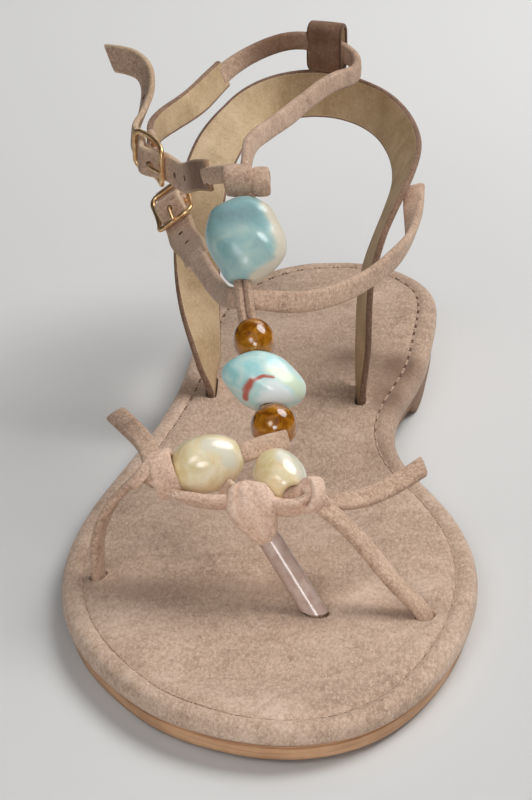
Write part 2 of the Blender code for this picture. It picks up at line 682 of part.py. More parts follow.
def buckle_tab(name, rows):
    """Strap end that folds round the buckle's centre bar, parted for the prong."""
    pieces = [strap(name + "_tab", rows + woven_rows(name, TAB_WEAVE, rows[-1][6]), TONGUE_THICKNESS, 3.6)]
    centre, along, across, off_face = buckle_frame(name)
    turns = np.linspace(0.0, 2 * math.pi, 8, endpoint=False)
    middle = (TAB_RING_OUTER + TAB_RING_INNER) / 2
    for side in (-1, 1):
        hub = at_buckle(name, 0.0, -BUCKLE_ARCH, side * TAB_RING_OFFSET)
        outward = np.outer(np.cos(turns), along) + np.outer(np.sin(turns), off_face)
        width = np.full((len(turns), 1), TAB_RING_WIDTH / 2)
        wall = (TAB_RING_OUTER - TAB_RING_INNER) / 2
        pieces.append(sweep(name + "_ring", hub + outward * middle, np.tile(across, (len(turns), 1)),
                            outward, width, wall, "suede", closed=True))
    return pieces


def build_buckle(name):
    """Arched wire frame with its centre bar, and the prong that rests on the near bar."""
    centre, along, across, off_face = buckle_frame(name)
    straight = (BUCKLE_LENGTH / 2 - BUCKLE_CORNER, BUCKLE_WIDTH / 2 - BUCKLE_CORNER)
    flat = []
    for quarter in range(4):
        turn = math.pi / 2 * quarter
        corner_x = straight[0] * (1 if quarter in (0, 3) else -1)
        corner_y = straight[1] * (1 if quarter in (0, 1) else -1)
        for step in range(4):
            angle = turn + math.pi / 2 * step / 3
            flat.append((corner_x + BUCKLE_CORNER * math.cos(angle), corner_y + BUCKLE_CORNER * math.sin(angle)))
        if quarter in (0, 2):
            flat.append((0.0, corner_y + BUCKLE_CORNER * (1 if quarter == 0 else -1)))
    flat = np.array(flat)
    arch = -BUCKLE_ARCH * (1 - (flat[:, 0] / (BUCKLE_LENGTH / 2)) ** 2)
    path = centre + np.outer(flat[:, 0], along) + np.outer(flat[:, 1], across) + np.outer(arch, off_face)
    tangent = unit(np.roll(path, -1, axis=0) - np.roll(path, 1, axis=0))
    normal = unit(off_face - (tangent @ off_face)[:, None] * tangent)
    half = np.full((len(path), 1), BUCKLE_WIRE / 2)
    frame = sweep(name + "_buckle_frame", path, np.cross(tangent, normal), normal, half, BUCKLE_WIRE / 2,
                  "gold_metal", closed=True)
    ends = [at_buckle(name, 0.0, -BUCKLE_ARCH, side * BUCKLE_WIDTH / 2) for side in (-1, 1)]
    bar_points = (ends[0], (ends[0] + ends[1]) / 2, ends[1])
    combine(frame, cord("bar", bar_points, BAR_DIAMETER, off_face, 3.0, "gold_metal"), "UNION")
    prong_points = [at_buckle(name, along_mm, off_mm) for along_mm, off_mm in PRONG_PATH]
    cord(name + "_buckle_prong", prong_points, PRONG_DIAMETER, across, 1.3, "gold_metal")


def build_instep_strap():
    """Bead cord with its two branches, cross strap, knot and the holed end for the lower buckle."""
    outer_arm = list(CROSS_OUTER) + woven_rows("lower", WEAVE, TONGUE_WIDTH)
    holed = strap("cross_outer", outer_arm, TONGUE_THICKNESS, 2.8)
    combine(holed, prong_cutter("lower"), "DIFFERENCE")
    pieces = [
        cord("instep_strap", INSTEP_CORD, BEAD_CORD, (1.0, 0.0, 0.0), 3.6),
        cord("outer_branch", OUTER_BRANCH, BRANCH_CORD, spacing=2.4),
        cord("inner_branch", INNER_BRANCH, BRANCH_CORD, spacing=2.4),
        strap("cross_inner", CROSS_INNER, CORD_THICKNESS, 5.5),
        ellipsoid("top_knot", *TOP_KNOT),
        holed,
    ]
    fuse(pieces)


def build_heel_band():
    """Lined band from slot to slot, with the ankle strap's loop and the lower buckle's tab."""
    band = strap("heel_band", HEEL_BAND, BAND_THICKNESS, 4.6)
    fuse([band, heel_loop(), *buckle_tab("lower", list(TAB_START))])


def heel_loop():
    """Flat loop of suede above the band, open to both sides for the ankle strap."""
    radius = (HEEL_LOOP_DEPTH - HEEL_LOOP_WALL) / 2
    straight = (HEEL_LOOP_HEIGHT - HEEL_LOOP_DEPTH) / 2
    path, outward = [], []
    for end in (1, -1):
        for step in range(7):
            turn = math.pi * step / 6
            facing = np.array((0.0, end * math.cos(turn), end * math.sin(turn)))
            path.append(np.array(HEEL_LOOP_CENTRE) + facing * radius + (0.0, 0.0, end * straight))
            outward.append(facing)
    across = np.tile((1.0, 0.0, 0.0), (len(path), 1))
    width = np.full((len(path), 1), HEEL_LOOP_WIDTH / 2)
    return sweep("heel_loop", np.array(path), across, np.array(outward), width, HEEL_LOOP_WALL / 2, "suede",
                 closed=True)


def build_ankle_strap():
    """Cord from the knot through the heel loop, widening to the upper buckle's tab."""
    fuse(buckle_tab("upper", list(ANKLE_STRAP)))
    bpy.data.objects["upper_tab"].name = "ankle_strap"


def build_ankle_tongue():
    """Holed strap from the knot through the upper buckle to its curled free end."""
    rows = list(ANKLE_TONGUE_FRONT) + woven_rows("upper", WEAVE, TONGUE_WIDTH) + list(ANKLE_TONGUE_END)
    tongue = strap("ankle_tongue", rows, TONGUE_THICKNESS, 2.6)
    combine(tongue, prong_cutter("upper"), "DIFFERENCE")


def main():
    for existing in list(bpy.data.objects):
        bpy.data.objects.remove(existing)
    build_outsole()
    build_footbed()
    build_toe_post_sleeve()
    build_thong_strap()
    build_instep_strap()
    build_heel_band()
    build_ankle_strap()
    build_ankle_tongue()
    build_beads()
    for name in BUCKLES:
        build_buckle(name)


main()
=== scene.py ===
"""Dresses the packed sandal: suede sole and straps, knots, beads, sleeve, buckles, floor, light and camera.

Sizes are millimetres in the sandal's own frame: x to the outer side, y from heel to toe, z from the footbed
at the ball for straps and from the floor for the sole. The function place turns them into metres.
"""

import json
import math

import bmesh
import bpy
import numpy as np
from mathutils import Matrix, Vector

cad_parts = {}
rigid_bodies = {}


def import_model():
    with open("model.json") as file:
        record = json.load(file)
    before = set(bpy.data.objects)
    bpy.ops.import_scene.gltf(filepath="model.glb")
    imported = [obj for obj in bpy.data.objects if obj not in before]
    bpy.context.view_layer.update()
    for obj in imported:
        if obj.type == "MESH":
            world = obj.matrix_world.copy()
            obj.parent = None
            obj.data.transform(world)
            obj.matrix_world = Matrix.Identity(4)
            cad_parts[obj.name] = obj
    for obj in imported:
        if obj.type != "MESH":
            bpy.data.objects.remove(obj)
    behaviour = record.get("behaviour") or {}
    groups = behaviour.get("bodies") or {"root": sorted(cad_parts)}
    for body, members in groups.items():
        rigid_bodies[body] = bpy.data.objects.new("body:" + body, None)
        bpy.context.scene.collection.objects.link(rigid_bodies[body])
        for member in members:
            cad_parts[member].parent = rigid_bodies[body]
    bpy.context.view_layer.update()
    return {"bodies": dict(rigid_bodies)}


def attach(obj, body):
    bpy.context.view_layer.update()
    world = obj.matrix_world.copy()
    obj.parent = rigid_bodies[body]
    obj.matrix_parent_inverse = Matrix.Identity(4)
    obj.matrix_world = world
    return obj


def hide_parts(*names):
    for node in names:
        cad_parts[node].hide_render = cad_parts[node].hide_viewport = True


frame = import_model()
BODY = next(iter(frame["bodies"]))

MM = 0.001
SEED = 11
SIDEWAYS = (1.0, 0.0, 0.0)
FORWARD = (0.0, 1.0, 0.0)
UPRIGHT = (0.0, 0.0, 1.0)
SHARP_ANGLE = math.radians(48)
# Slow waves that keep the soft pieces uneven: paces, what brings their sum to about 1, length in mm
WAVER_PACES = (0.6, 1.1, 1.9, 3.1)
WAVER_SUM = 2.6
WAVER_SCALE = 11.0

# Sole
SOLE_LENGTH = 252.0
SOLE_MIDDLE_X = 8.3
FOOTBED_TOP = 8.2
FOOTBED_THICKNESS = 4.3
HEEL_RISE = 5.0
RISE_BACK_Y = 45.0
RISE_FRONT_Y = 135.0
TOE_SPRING = 1.5
SPRING_START_Y = 200.0
OUTSOLE_INSET = 1.3
ARCH_RISE = 3.5
BREAST_Y = 73.0
BREAST_RUN = 4.0
ARCH_FRONT_Y = 125.0
# Darkness of the painted shade on the outsole's heel block, fading out between the breast and the arch
HEEL_PAINTED_SHADE = 0.75
GAP = 0.3
OUTLINE_STATIONS = 150
OUTLINE_READS = 2400
# Rows repeated past each end of the outline, so that its spline closes smoothly
OUTLINE_OVERLAP = 4
PLATE_COLUMNS = 26

# Edge of the sole at each section: y, inner (medial) x, outer (lateral) x
OUTLINE = (
    (0, -1.6, -1.6), (4, -16, 12.5), (10, -21.9, 19.2), (20, -27.2, 25.6), (35, -28.8, 30.5),
    (55, -27.5, 33.1), (75, -24.9, 34.6), (95, -19.5, 38.1), (115, -20, 43.4), (135, -28, 49),
    (155, -34.9, 53), (175, -37.8, 54.4), (195, -36.7, 52.2), (212, -33, 46.8), (228, -27, 38),
    (240, -20, 28.4), (248, -11.5, 16.8), (252, 1.3, 1.3),
)

# Outsole section: inset and height from its underside, then from its upper side
OUTSOLE_LOWER_RINGS = ((1.6, 0.0), (0.7, 0.08), (0.25, 0.35), (0.05, 0.8), (0.0, 1.4))
OUTSOLE_UPPER_RINGS = ((0.0, -1.2), (0.0, -0.8), (0.3, -0.6), (0.3, -0.35), (0.05, -0.15), (0.4, 0.0))
# Footbed section from its lower edge over the puffed rim and the stitched groove: inset, height from the top
FOOTBED_RINGS = (
    (0.9, -4.3), (0.25, -4.05), (0, -3.5), (0, -2.6), (0.12, -1.9), (0.45, -1.2), (1, -0.62),
    (1.8, -0.2), (2.7, 0.02), (3.5, 0), (4.1, -0.2), (4.5, -0.5), (4.8, -0.62), (5.1, -0.5),
    (5.6, -0.22), (6.4, 0), (7.6, 0.08), (9.5, 0.05),
)
GROOVE_INSET = 4.8
GROOVE_DEPTH = 0.62
STITCH_PITCH = 4.9
STITCH_LENGTH = 3.3
STITCH_RADIUS = 0.3
STITCH_LIFT = 0.05
# Pricked holes of the seam, drawn as short dark threads of painted shade: room past a stitch, half length,
# height over the groove, radius, heel growth
PRICK_SPACE = 0.5
PRICK_REACH = 0.3
PRICK_LIFT = 0.02
STITCH_HOLE_RADIUS = 0.11
HEEL_HOLE_GROWTH = 2.7
# Short thread: share of its length, share of its radius
CAPSULE_SHAPE = ((0.0, 0.25), (0.06, 0.7), (0.2, 1.0), (0.5, 1.08), (0.8, 1.0), (0.94, 0.7), (1.0, 0.25))
CAPSULE_SEGMENTS = 8
# Waver of the puffed rim: height, depth where it fades out, length to width of its round, radius, wave, seed
RIM_WAVER = 0.1
RIM_FADE = 1.3
RIM_ROUNDNESS = 2.5
RIM_RADIUS = 90.0
RIM_WAVE = 9.0
RIM_SEED = 5
# Soft waves of the footbed: x, y, spread in x, spread in y, height
FOOTBED_WAVES = (
    (1, 38, 15, 22, -0.5),
    (10, 168, 22, 20, -0.45),
    (28, 214, 12, 7, 0.5),
    (4, 228, 16, 6, -0.6),
    (-18, 212, 10, 8, 0.45),
    (14, 239, 14, 4, 0.35),
    (8, 213, 12, 4, -0.35),
    (36, 190, 9, 12, -0.3),
    (-22, 178, 8, 14, -0.3),
    (8, 118, 12, 16, 0.3),
    (24, 146, 10, 12, 0.25),
    (-8, 150, 10, 14, -0.2),
    (46, 181, 3.6, 5, -0.5),
    (-26.4, 198.7, 4, 5, -0.5),
    (-2.8, 197.9, 5, 4.6, -0.45),
    (-10, 86.5, 3.4, 8, -0.4),
    (27, 83.3, 3.4, 8, -0.4),
)
# Painted shade on the footbed under and beside the straps and inside the heel band: x, y, spread in x, spread
# in y, amount; a negative amount takes shade away
FOOTBED_PAINTED_SHADING = (
    (30, 188, 16, 7, 0.55),
    (4, 186, 12, 10, 0.5),
    (-24, 196, 9, 7, 0.55),
    (-1, 203, 8, 5, 0.35),
    (44, 178, 6, 10, 0.4),
    (20, 130, 18, 22, 0.3),
    (-16, 118, 6, 18, 0.5),
    (0, 70, 20, 22, 0.35),
    (-20.5, 72, 6, 8, 1),
    (-17, 88, 6, 9, 0.8),
    (-8, 67, 6, 6, 0.6),
    (-2, 235, 18, 6, -0.3),
    (30, 222, 10, 8, -0.3),
    (-22, 222, 8, 9, -0.25),
)

# Steps in each half-round or quarter-round of a slot or buckle
ARC_STEPS = 9
# Reach of the cutters up and down, in thicknesses of the piece that they cut
SLOT_REACH = 3
HOLE_REACH = 2
# Slots through the footbed: x, y, direction x, direction y, length, width
SLOTS = (
    (-10, 86.5, 0, 1, 11.2, 2.8),
    (27, 83.3, 0, 1, 11.2, 2.8),
    (46, 181, 0.3, 0.95, 6, 3.2),
    (-26.4, 198.7, 0.42, 0.91, 6, 4),
    (-2.8, 197.9, 0.85, -0.53, 6.4, 4.4),
)

# Straps
CORD_THICKNESS = 2.0
BAND_THICKNESS = 1.6
TONGUE_WIDTH = 7.5
TONGUE_THICKNESS = 1.6
STRAND_WIDTH = 2.1
STRAND_THICKNESS = 2.5
BRANCH_WIDTH = 4.4
BRANCH_THICKNESS = 1.5
CORD_CROWN = 0.1
HOLED_CROWN = 0.08
BAND_CROWN = 0.06
# Sections along straps and round cords: mm apart, and fewest on a short one
STRAP_SPACING = 0.9
STRAP_STATIONS = 8
ROUND_SPACING = 0.5
ROUND_STATIONS = 6
ROUND_SEGMENTS = 18
TANGENT_STEP = 0.05
FACE_STEPS = 8
SIDE_STEPS = 6
EDGE_ROUND = 0.8
# Slanted ends: mm of strap that a slant takes, then the shift at each end
CUT_RUN = 5.0
SQUARE_ENDS = (0.0, 0.0)
TONGUE_ENDS = (0.0, 1.6)
TAIL_ENDS = (0.0, 1.0)
# Rounded cut of a strap's end, as shares of half its thickness
END_PUSH = 0.4
END_TRIM = 0.45
WIDTH_WAVER = 0.09
FACE_WAVER = 0.12
PILLOW_POWER = 0.85
PILLOW_SEGMENTS = 48
# Stretch of the footbed's grain along the sandal
NAP_STRETCH = (1.0, 0.45, 1.0)
# Creases down a folded lump: share of its half width, spread as a share, depth
FOLD_CREASES = ((0.5, 0.12, 0.9), (-0.3, 0.18, 0.45))
# Painted shade on lengths of the straps that face away from the light: middle, spread and amount, in mm along
# each
STRAP_PAINTED_SHADES = {
    "ankle_cord": (143, 15, 0.9),
    "tongue_holed": (6, 10, 1),
    "cross_strap_holed": (14, 16, 0.5),
    "heel_band_suede": (16, 24, 0.5),
}

# Heel band, inner slot to outer slot: x, y, z, direction across the band, width
HEEL_BAND = (
    (-10, 86.5, -1.2, 0, 1, 0, 9.6),
    (-10, 86.5, 3, -0.12, 1, 0, 9.6),
    (-10.6, 84.5, 14, -0.27, 0.92, 0.3, 11),
    (-11.2, 79, 28, -0.25, 0.83, 0.5, 12),
    (-14.4, 70.5, 38.2, -0.35, 0.65, 0.7, 12),
    (-19.2, 57, 45.5, -0.5, 0.3, 0.8, 12.4),
    (-20.9, 42, 48.8, -0.55, 0.1, 0.83, 12.4),
    (-17.5, 24, 51, -0.5, 0, 0.87, 12),
    (-9, 8.5, 52.3, -0.15, 0, 1, 12.5),
    (2, 3.2, 53.3, 0, 0, 1, 13),
    (13, 9.5, 54, 0.4, 0.1, 0.85, 12.5),
    (22.5, 27, 53.8, 0.75, 0, 0.62, 11.2),
    (29, 49, 48.5, 0.87, 0, 0.42, 12),
    (31, 66, 36, 1, 0, 0, 12),
    (29.8, 77, 19, 0.8, 0.55, 0.3, 11.5),
    (27.6, 82.7, 8.6, 0.4, 0.9, 0.15, 10.5),
    (27, 83.3, 3.6, 0, 1, 0, 9.6),
    (27, 83.3, -1.2, 0, 1, 0, 9.6),
)
HEEL_LOOP_CENTRE = (0.5, 3.2, 66.2)
HEEL_LOOP_HEIGHT = 13.4
HEEL_LOOP_DEPTH = 6.2
HEEL_LOOP_WIDTH = 9.6
HEEL_LOOP_WALL = 1.3
HEEL_LOOP_TURN = math.radians(17)
# Painted shade over the whole heel loop, whose front faces away from the light
HEEL_LOOP_PAINTED_SHADE = 0.85
HEEL_LOOP_STEPS = 13

# Ankle strap from the knot through the heel loop, then its wide lined part to the buckle
ANKLE_CORD = (
    (15.6, 120.8, 72.8, 0.1, 0.1, 1, 5),
    (15.5, 117, 73.7, 0.1, 0.1, 1, 5),
    (15.4, 108, 74.2, 0.2, 0, 1, 5),
    (11.6, 88, 72.2, 0.2, 0.1, 1, 5),
    (4.6, 57, 68.5, 0.2, 0.1, 1, 5),
    (-3.5, 30, 65.8, 0.1, 0.1, 1, 5),
    (-7.4, 15, 63, 0, 0, 1, 5),
    (-7, 7.4, 63.4, 0, 0, 1, 5),
    (-4.2, 3.6, 64.6, 0, 0, 1, 5),
    (0.5, 3.1, 66.4, 0, 0, 1, 5),
    (6, 3.9, 68, 0.1, 0, 1, 5),
    (15.5, 11, 68.6, 0.25, 0.1, 0.95, 5),
    (25.3, 25, 66.8, 0.4, 0.1, 0.9, 5),
    (27.2, 30, 66.4, 0.42, 0.1, 0.9, 5),
)
ANKLE_WIDE = (
    (26.5, 28, 66.6, 0.42, 0.1, 0.9, 7.5),
    (29.5, 37, 65.8, 0.45, 0.1, 0.88, 7.5),
    (33, 47, 65, 0.5, 0.1, 0.85, 7.4),
)

# Ankle tongue: cord from the knot, then the holed strap before and after its buckle
TONGUE_CORD = (
    (17.6, 120.8, 71.6, 0, 0.2, 1, 4.5),
    (19.6, 117, 71, 0, 0.2, 1, 4.5),
    (24, 111.5, 68.8, 0, 0.2, 1, 4.5),
    (25.6, 109.4, 68, 0, 0.2, 1, 4.5),
)
TONGUE_FRONT = (
    (24.7, 110.6, 68.5, 0, 0.15, 1, 7.5),
    (29, 101, 65, 0, 0.15, 1, 7.5),
)
TONGUE_END = (
    (45, 66.2, 66, -0.3, 0.3, 0.9, 7.5),
    (43.2, 59.6, 71, -0.4, 0.5, 0.75, 7.5),
    (44.4, 54.3, 75.8, -0.3, 0.4, 0.85, 7.5),
    (48, 51.3, 77.2, -0.1, 0.1, 1, 7.4),
    (53, 49, 77.4, 0.1, -0.15, 1, 7),
)

# Cross strap, from the crossing outwards
CROSS_INNER = (
    (16.5, 142.2, 50.5, 0, -0.67, 0.75, 5),
    (14.9, 142, 50.3, 0, -0.67, 0.75, 5),
    (4.7, 136, 47, 0, -0.4, 0.9, 5),
    (-7, 122.5, 44.4, 0, -0.2, 1, 5),
    (-17.9, 98, 42.9, 0, 0, 1, 5),
    (-22.5, 76, 42.4, -0.45, 0, 0.89, 5.2),
    (-22.8, 65, 44.2, -0.85, 0.15, 0.5, 5.6),
    (-22.8, 57.5, 46.4, -0.95, 0.2, 0.3, 5.6),
)
CROSS_CORD = (
    (13.3, 141.8, 50.2, 0, -0.67, 0.75, 5),
    (14.9, 142, 50.3, 0, -0.67, 0.75, 5),
    (20.5, 132, 47.3, -0.2, -0.4, 0.85, 5),
    (26, 114.5, 46.6, -0.6, -0.1, 0.8, 5),
    (28.4, 106, 46.5, -0.7, -0.1, 0.7, 5),
)
CROSS_WIDE = (
    (27.8, 108.2, 46.5, -0.7, -0.1, 0.7, 7.5),
    (30.2, 98, 46, -0.75, -0.1, 0.65, 7.5),
)
# Tab of the lower buckle, from the heel band to the buckle
TAB_START = (
    (31.2, 53, 45.8, -0.3, 0, 0.95, 6.4),
    (34.9, 61.5, 47.4, -0.6, 0, 0.8, 6.4),
)

# Buckles, in mm along the strap and square to its face
BUCKLE_LENGTH = 14.0
BUCKLE_WIDTH = 9.6
BUCKLE_CORNER = 2.0
BUCKLE_WIRE = 1.3
WIRE_STATIONS = 140
WIRE_SEGMENTS = 20
WIRE_GROOVE = 0.2
WIRE_GROOVE_SPREAD = 0.32
BUCKLE_ARCH = 1.5
BAR_DIAMETER = 1.2
PRONG_DIAMETER = 1.0
PRONG_TAPER = 0.7
TAPER_START = 0.6
TAB_RING_OUTER = 1.8
TAB_RING_INNER = 0.9
TAB_RING_WIDTH = 2.2
TAB_RING_OFFSET = 2.2
TAB_END_GROWTH = 0.3
# Path of a strap, its tab and the prong at a buckle: mm along the strap, mm off its face
WEAVE = ((-12.0, -2.0), (-7.0, -1.85), (-3.5, -0.3), (0.0, 1.5), (3.5, -0.3), (7.0, -1.85), (11.0, -2.2))
# Row of WEAVE that lies over the centre bar
WEAVE_MIDDLE = 3
TAB_WEAVE = ((7.0, -4.4), (3.5, -3.2), (1.2, -2.5))
PRONG_PATH = ((-1.45, -1.5), (-2.0, -0.2), (-3.0, 1.3), (-5.0, 1.75), (-7.0, 1.5), (-8.2, 1.2))
# Punched holes: radius, sides, place of the one round the prong, number of their finish, which paints shade
# on their walls
HOLE_RADIUS = 0.75
HOLE_SEGMENTS = 20
PRONG_HOLE = -2.6
HOLE_GROUP = 3
# Buckles: centre, direction along the strap, direction off its face
BUCKLES = {
    "upper": ((41.3, 82, 62.6), (0.54, -0.857, 0.11), (0.863, 0.537, -0.05)),
    "lower": ((36.6, 78, 49.1), (0.22, -0.95, 0.2), (0.55, 0.3, 0.78)),
}
# Open holes of each strap, in mm along it from the buckle
STRAP_HOLES = {"upper": (-19.5, -12.0, 10.5, 18.0, 25.5), "lower": (-20.0, -12.5, 9.0)}

# Beads: name, centre, axis, length along the axis, width, depth, lobes, lobe depth
BEADS = (
    ("bead_cream_outer", (21.3, 183, 28), (0.93, 0.3, -0.2), 15.2, 12.8, 11.4, 2, 0),
    ("bead_cream_inner", (5.4, 182.4, 25), (-0.45, 0.85, -0.27), 12, 11.4, 10.6, 2, 0),
    ("bead_amber_lower", (7.3, 168, 30.5), (0.25, -0.74, 0.62), 8.4, 10.4, 10, 2, 0),
    ("bead_marbled", (10, 160, 37.6), (0.23, -0.75, 0.62), 12.4, 18, 12.5, 3, 0.05),
    ("bead_amber_upper", (12.4, 151.5, 44), (0.22, -0.8, 0.56), 8.4, 9.4, 9.2, 2, 0),
    ("bead_teal", (15.4, 132.5, 60.5), (-0.01, -0.67, 0.75), 20, 17.5, 12.5, 3, 0.06),
)
# Lean of a bead: shift along its axis for each mm to the right
BEAD_LEAN = {"bead_marbled": 0.22}
# Raised lines of glaze on the side that the camera sees: path of right and up, width, height
BEAD_RIDGES = {
    "bead_teal": ((((3.2, 0.4), (4.6, -1.2), (5.6, -3.4), (4.6, -6), (1.4, -7.6)), 0.8, 0.6),),
}
BEAD_BORE = 2.1
BEAD_LIP = 0.7
BEAD_FULLNESS = 0.8
BEAD_TWIST = 2.2
# No dent reaches nearer to the axis than this many radii of the bore, and dents fade towards the ends
BORE_MARGIN = 1.2
DENT_FADE = 4
# A bead whose axis runs sideways by more than this share takes its width from the upright direction
SIDEWAYS_SHARE = 0.8
BEAD_RINGS = 40
BEAD_SEGMENTS = 72
# Dents and swellings of the beads as the camera sees them: right, up, spread, spread, height
BEAD_DENTS = {
    "bead_teal": (
        (-7.5, -7.5, 4, 4, -1.5),
        (8, -3, 5, 5, 0.8),
        (-8.5, 2, 4, 4, 0.5),
        (-6, 8, 4, 3, 1.6),
        (5, 8.5, 4, 3, 1),
        (7.5, 5, 3, 3, -0.3),
    ),
    "bead_marbled": (
        (-7.5, 1, 4, 3, 0.4),
        (-6.5, -4.5, 4, 3, -0.8),
        (7, -4, 4, 3.2, 1.2),
        (7.5, 4, 4, 3, -0.9),
    ),
    "bead_cream_outer": (
        (-5, 3, 3, 3, 0.25),
        (5, 4, 3, 3, -0.3),
        (3, -4, 3, 3, 0.2),
    ),
    "bead_cream_inner": (
        (3, 3, 3, 3, -0.3),
        (-3, 0, 3, 3, 0.2),
    ),
}
STONE = {"Roughness": 0.14, "Coat Weight": 0.6, "Coat Roughness": 0.06, "Specular IOR Level": 0.5}
GLAZED = STONE | {"Roughness": 0.3, "Coat Weight": 0.3, "Coat Roughness": 0.1}
# Look of each kind of bead. Tone is a level, its change to the right and its change upwards. Each mark has a
# colour and strokes of amount, width and path, and covers the marks before it.
BEAD_LOOKS = {
    "cream": {
        "finish": "bead_cream",
        "slot": "cream_stone",
        "shader": STONE | {"Roughness": 0.24, "Coat Weight": 0.5,
                           "Subsurface Weight": 0.15, "Subsurface Scale": 0.002},
        "patch": 6,
        "stops": ((0.34, (202, 176, 120)), (0.52, (228, 208, 158)), (0.7, (242, 230, 200))),
        "tone": (0.4, 0.012, 0),
        "marks": {
            "mark": ((226, 220, 200), ((1, 1.8, ((0.5, 4.5), (4, 3.6), (5.5, 0.5))),)),
        },
    },
    "amber": {
        "finish": "bead_amber",
        "slot": "amber_glass",
        "shader": STONE | {"Transmission Weight": 0.3, "IOR": 1.5},
        "patch": 3,
        "stops": ((0.34, (78, 40, 4)), (0.5, (152, 88, 10)), (0.68, (220, 150, 42))),
        "tone": (0.42, 0, -0.02),
        "marks": {
            # painted light: a paler orange arc low in the glass, where light glows through it
            "mark": ((206, 132, 40), ((1, 1, ((-3.6, -2), (0, -3.6), (3.4, -2.2))),)),
        },
    },
    "marbled": {
        "finish": "bead_marbled",
        "slot": "teal_stone",
        "shader": GLAZED,
        "patch": 5,
        "stops": ((0.36, (136, 206, 210)), (0.52, (178, 224, 224)), (0.7, (222, 240, 234))),
        "tone": (0.4, 0.016, -0.02),
        "marks": {
            "green": ((214, 230, 204), ((1, 2, ((3, 2.8), (6.5, 1.5), (8.5, -1.5))),)),
            # painted light as well as the marble's own colour: the pale patch at the lower right is made
            # paler against the shade of its down-facing side
            "pale": ((236, 246, 246), ((1, 2.2, ((1, -3.5), (4, -2), (2.5, -0.5))),)),
            "mark": ((190, 98, 80), ((1, 0.4, ((2.4, 1.5), (0.2, 1.3), (-2.2, -0.4))),
                                     (1, 0.9, ((-2.2, -0.4), (-3.6, -2.6), (-3.8, -4.2))))),
        },
    },
    "teal": {
        "finish": "bead_teal_glaze",
        "slot": "teal_stone",
        "shader": GLAZED,
        "patch": 7,
        "stops": ((0.36, (116, 164, 170)), (0.52, (146, 186, 188)), (0.7, (178, 204, 198))),
        "tone": (0.4, 0.012, -0.008),
        "marks": {
            "pale": ((226, 218, 198),
                     ((1, 1.8, ((5, 8.5), (7.8, 4), (8.6, -1.5), (7.4, -5.5), (3, -8.8))),)),
            "mark": ((116, 138, 148), ((0.5, 3.2, ((-4, 5.5), (1.5, 6))),)),
        },
    },
}

# Cord and branches through the beads: x, y, z
INSTEP_CORD = (
    (5.9, 172.3, 27), (7.3, 168, 30.5), (10, 160, 37.6), (12.4, 151.5, 44), (14.2, 146.4, 47.9),
    (14.9, 143.2, 51), (15.5, 139.2, 53.6), (15.4, 132.5, 60.5), (15.3, 125.8, 68),
    (14.8, 123.4, 70.8),
)
OUTER_BRANCH = (
    (4.2, 174.2, 30), (8.6, 176.8, 29.9), (13.6, 180.2, 29.4), (21.3, 183, 28), (28.4, 185.3, 26.5),
)
INNER_BRANCH = (
    (6.3, 171, 28), (6.4, 172.8, 27), (8.2, 175.2, 27.1), (8.1, 177.3, 26.6), (6.8, 179.9, 25.8),
    (5.4, 182.4, 25), (2.7, 187.5, 23.4), (1.6, 188.2, 23.1),
)

# Toe post: x, y, z; its clear sleeve stands between two of these rows
TOE_POST = (
    (-3.3, 198.1, -4.1), (-3.1, 198, -1.6), (-2, 197.4, 0.6), (2.7, 194.5, 7.4), (7.4, 191.5, 14.2),
    (9, 190.8, 17.4),
)
POST_DIAMETER = 3.4
SLEEVE_OUTER = 5.2
SLEEVE_INNER = 4.0
SLEEVE_LOW = 2
SLEEVE_HIGH = 4
SLEEVE_RINGS = 24
SLEEVE_SEGMENTS = 40
# Strap folded over the arms, with its depth in the last column, and the end of the fold
TOE_WRAP = (
    (7.9, 192, 14.6, 0.8, 0.5, 0, 4.8, 4.6),
    (8.9, 192.4, 17.2, 0.9, 0.3, 0, 7.4, 5.4),
    (10.2, 192.3, 20.2, 0.95, 0.15, 0, 10, 6.2),
    (11.4, 191.9, 23, 0.97, 0.1, 0, 10.8, 6.2),
    (12.2, 191.3, 25.4, 0.97, 0.1, 0, 9.2, 5.4),
    (12.6, 190.8, 26.9, 0.97, 0.1, 0, 5.8, 3.8),
    (12.7, 190.6, 27.6, 0.97, 0.1, 0, 1.6, 1.2),
)
WRAP_END = (
    (12.6, 190.8, 22.6, 0.55, 0, -0.83, 4.2),
    (14.8, 190, 24, 0.55, 0, -0.83, 4.2),
    (17, 189.2, 25.6, 0.55, 0, -0.83, 4),
)
# Arms of the thong from knot to knot, then the side straps and the loose tails
THONG_ARMS = (
    (32.6, 186, 25.4, 0.3, 0.8, 0.5, 5),
    (28.4, 188.2, 23.4, 0.1, 0.85, 0.5, 5),
    (24, 189.6, 22.6, 0, 0.65, 0.75, 5),
    (17.6, 190.8, 22.6, 0, 0.65, 0.75, 5),
    (11.6, 190.8, 23.2, 0, 0.6, 0.8, 5.2),
    (6.2, 191.4, 22.2, 0, 0.5, 0.85, 5.4),
    (2.4, 191.6, 21.8, 0.1, 0.5, 0.85, 5.4),
    (-1.8, 190.2, 23.6, 0.4, 0.8, 0.5, 5),
)
SIDE_OUTER = (
    (32.6, 185.6, 27, 0.1, 0.9, 0.4, 5),
    (38, 182.4, 22.8, 0.2, 0.95, 0.2, 5),
    (43, 182.2, 16.6, 0.3, 0.95, 0, 5),
    (45.6, 182.2, 9.4, 0.3, 0.95, 0, 5),
    (46, 181.4, 3.4, 0.3, 0.95, 0, 5),
    (46, 181, -0.5, 0.3, 0.95, 0, 5),
    (46, 181, -4.1, 0.3, 0.95, 0, 5),
)
SIDE_INNER = (
    (-1.8, 190.2, 23.4, 0.42, 0.91, 0, 5),
    (-8.6, 191.2, 17.8, 0.42, 0.91, 0, 5),
    (-15.2, 193.8, 11.2, 0.42, 0.91, 0, 5),
    (-21.8, 197, 4.6, 0.42, 0.91, 0, 5),
    (-25.4, 198.4, 1, 0.42, 0.91, 0, 5),
    (-26.6, 198.8, -1.6, 0.42, 0.91, 0, 5),
    (-26.9, 198.9, -4.1, 0.42, 0.91, 0, 5),
)
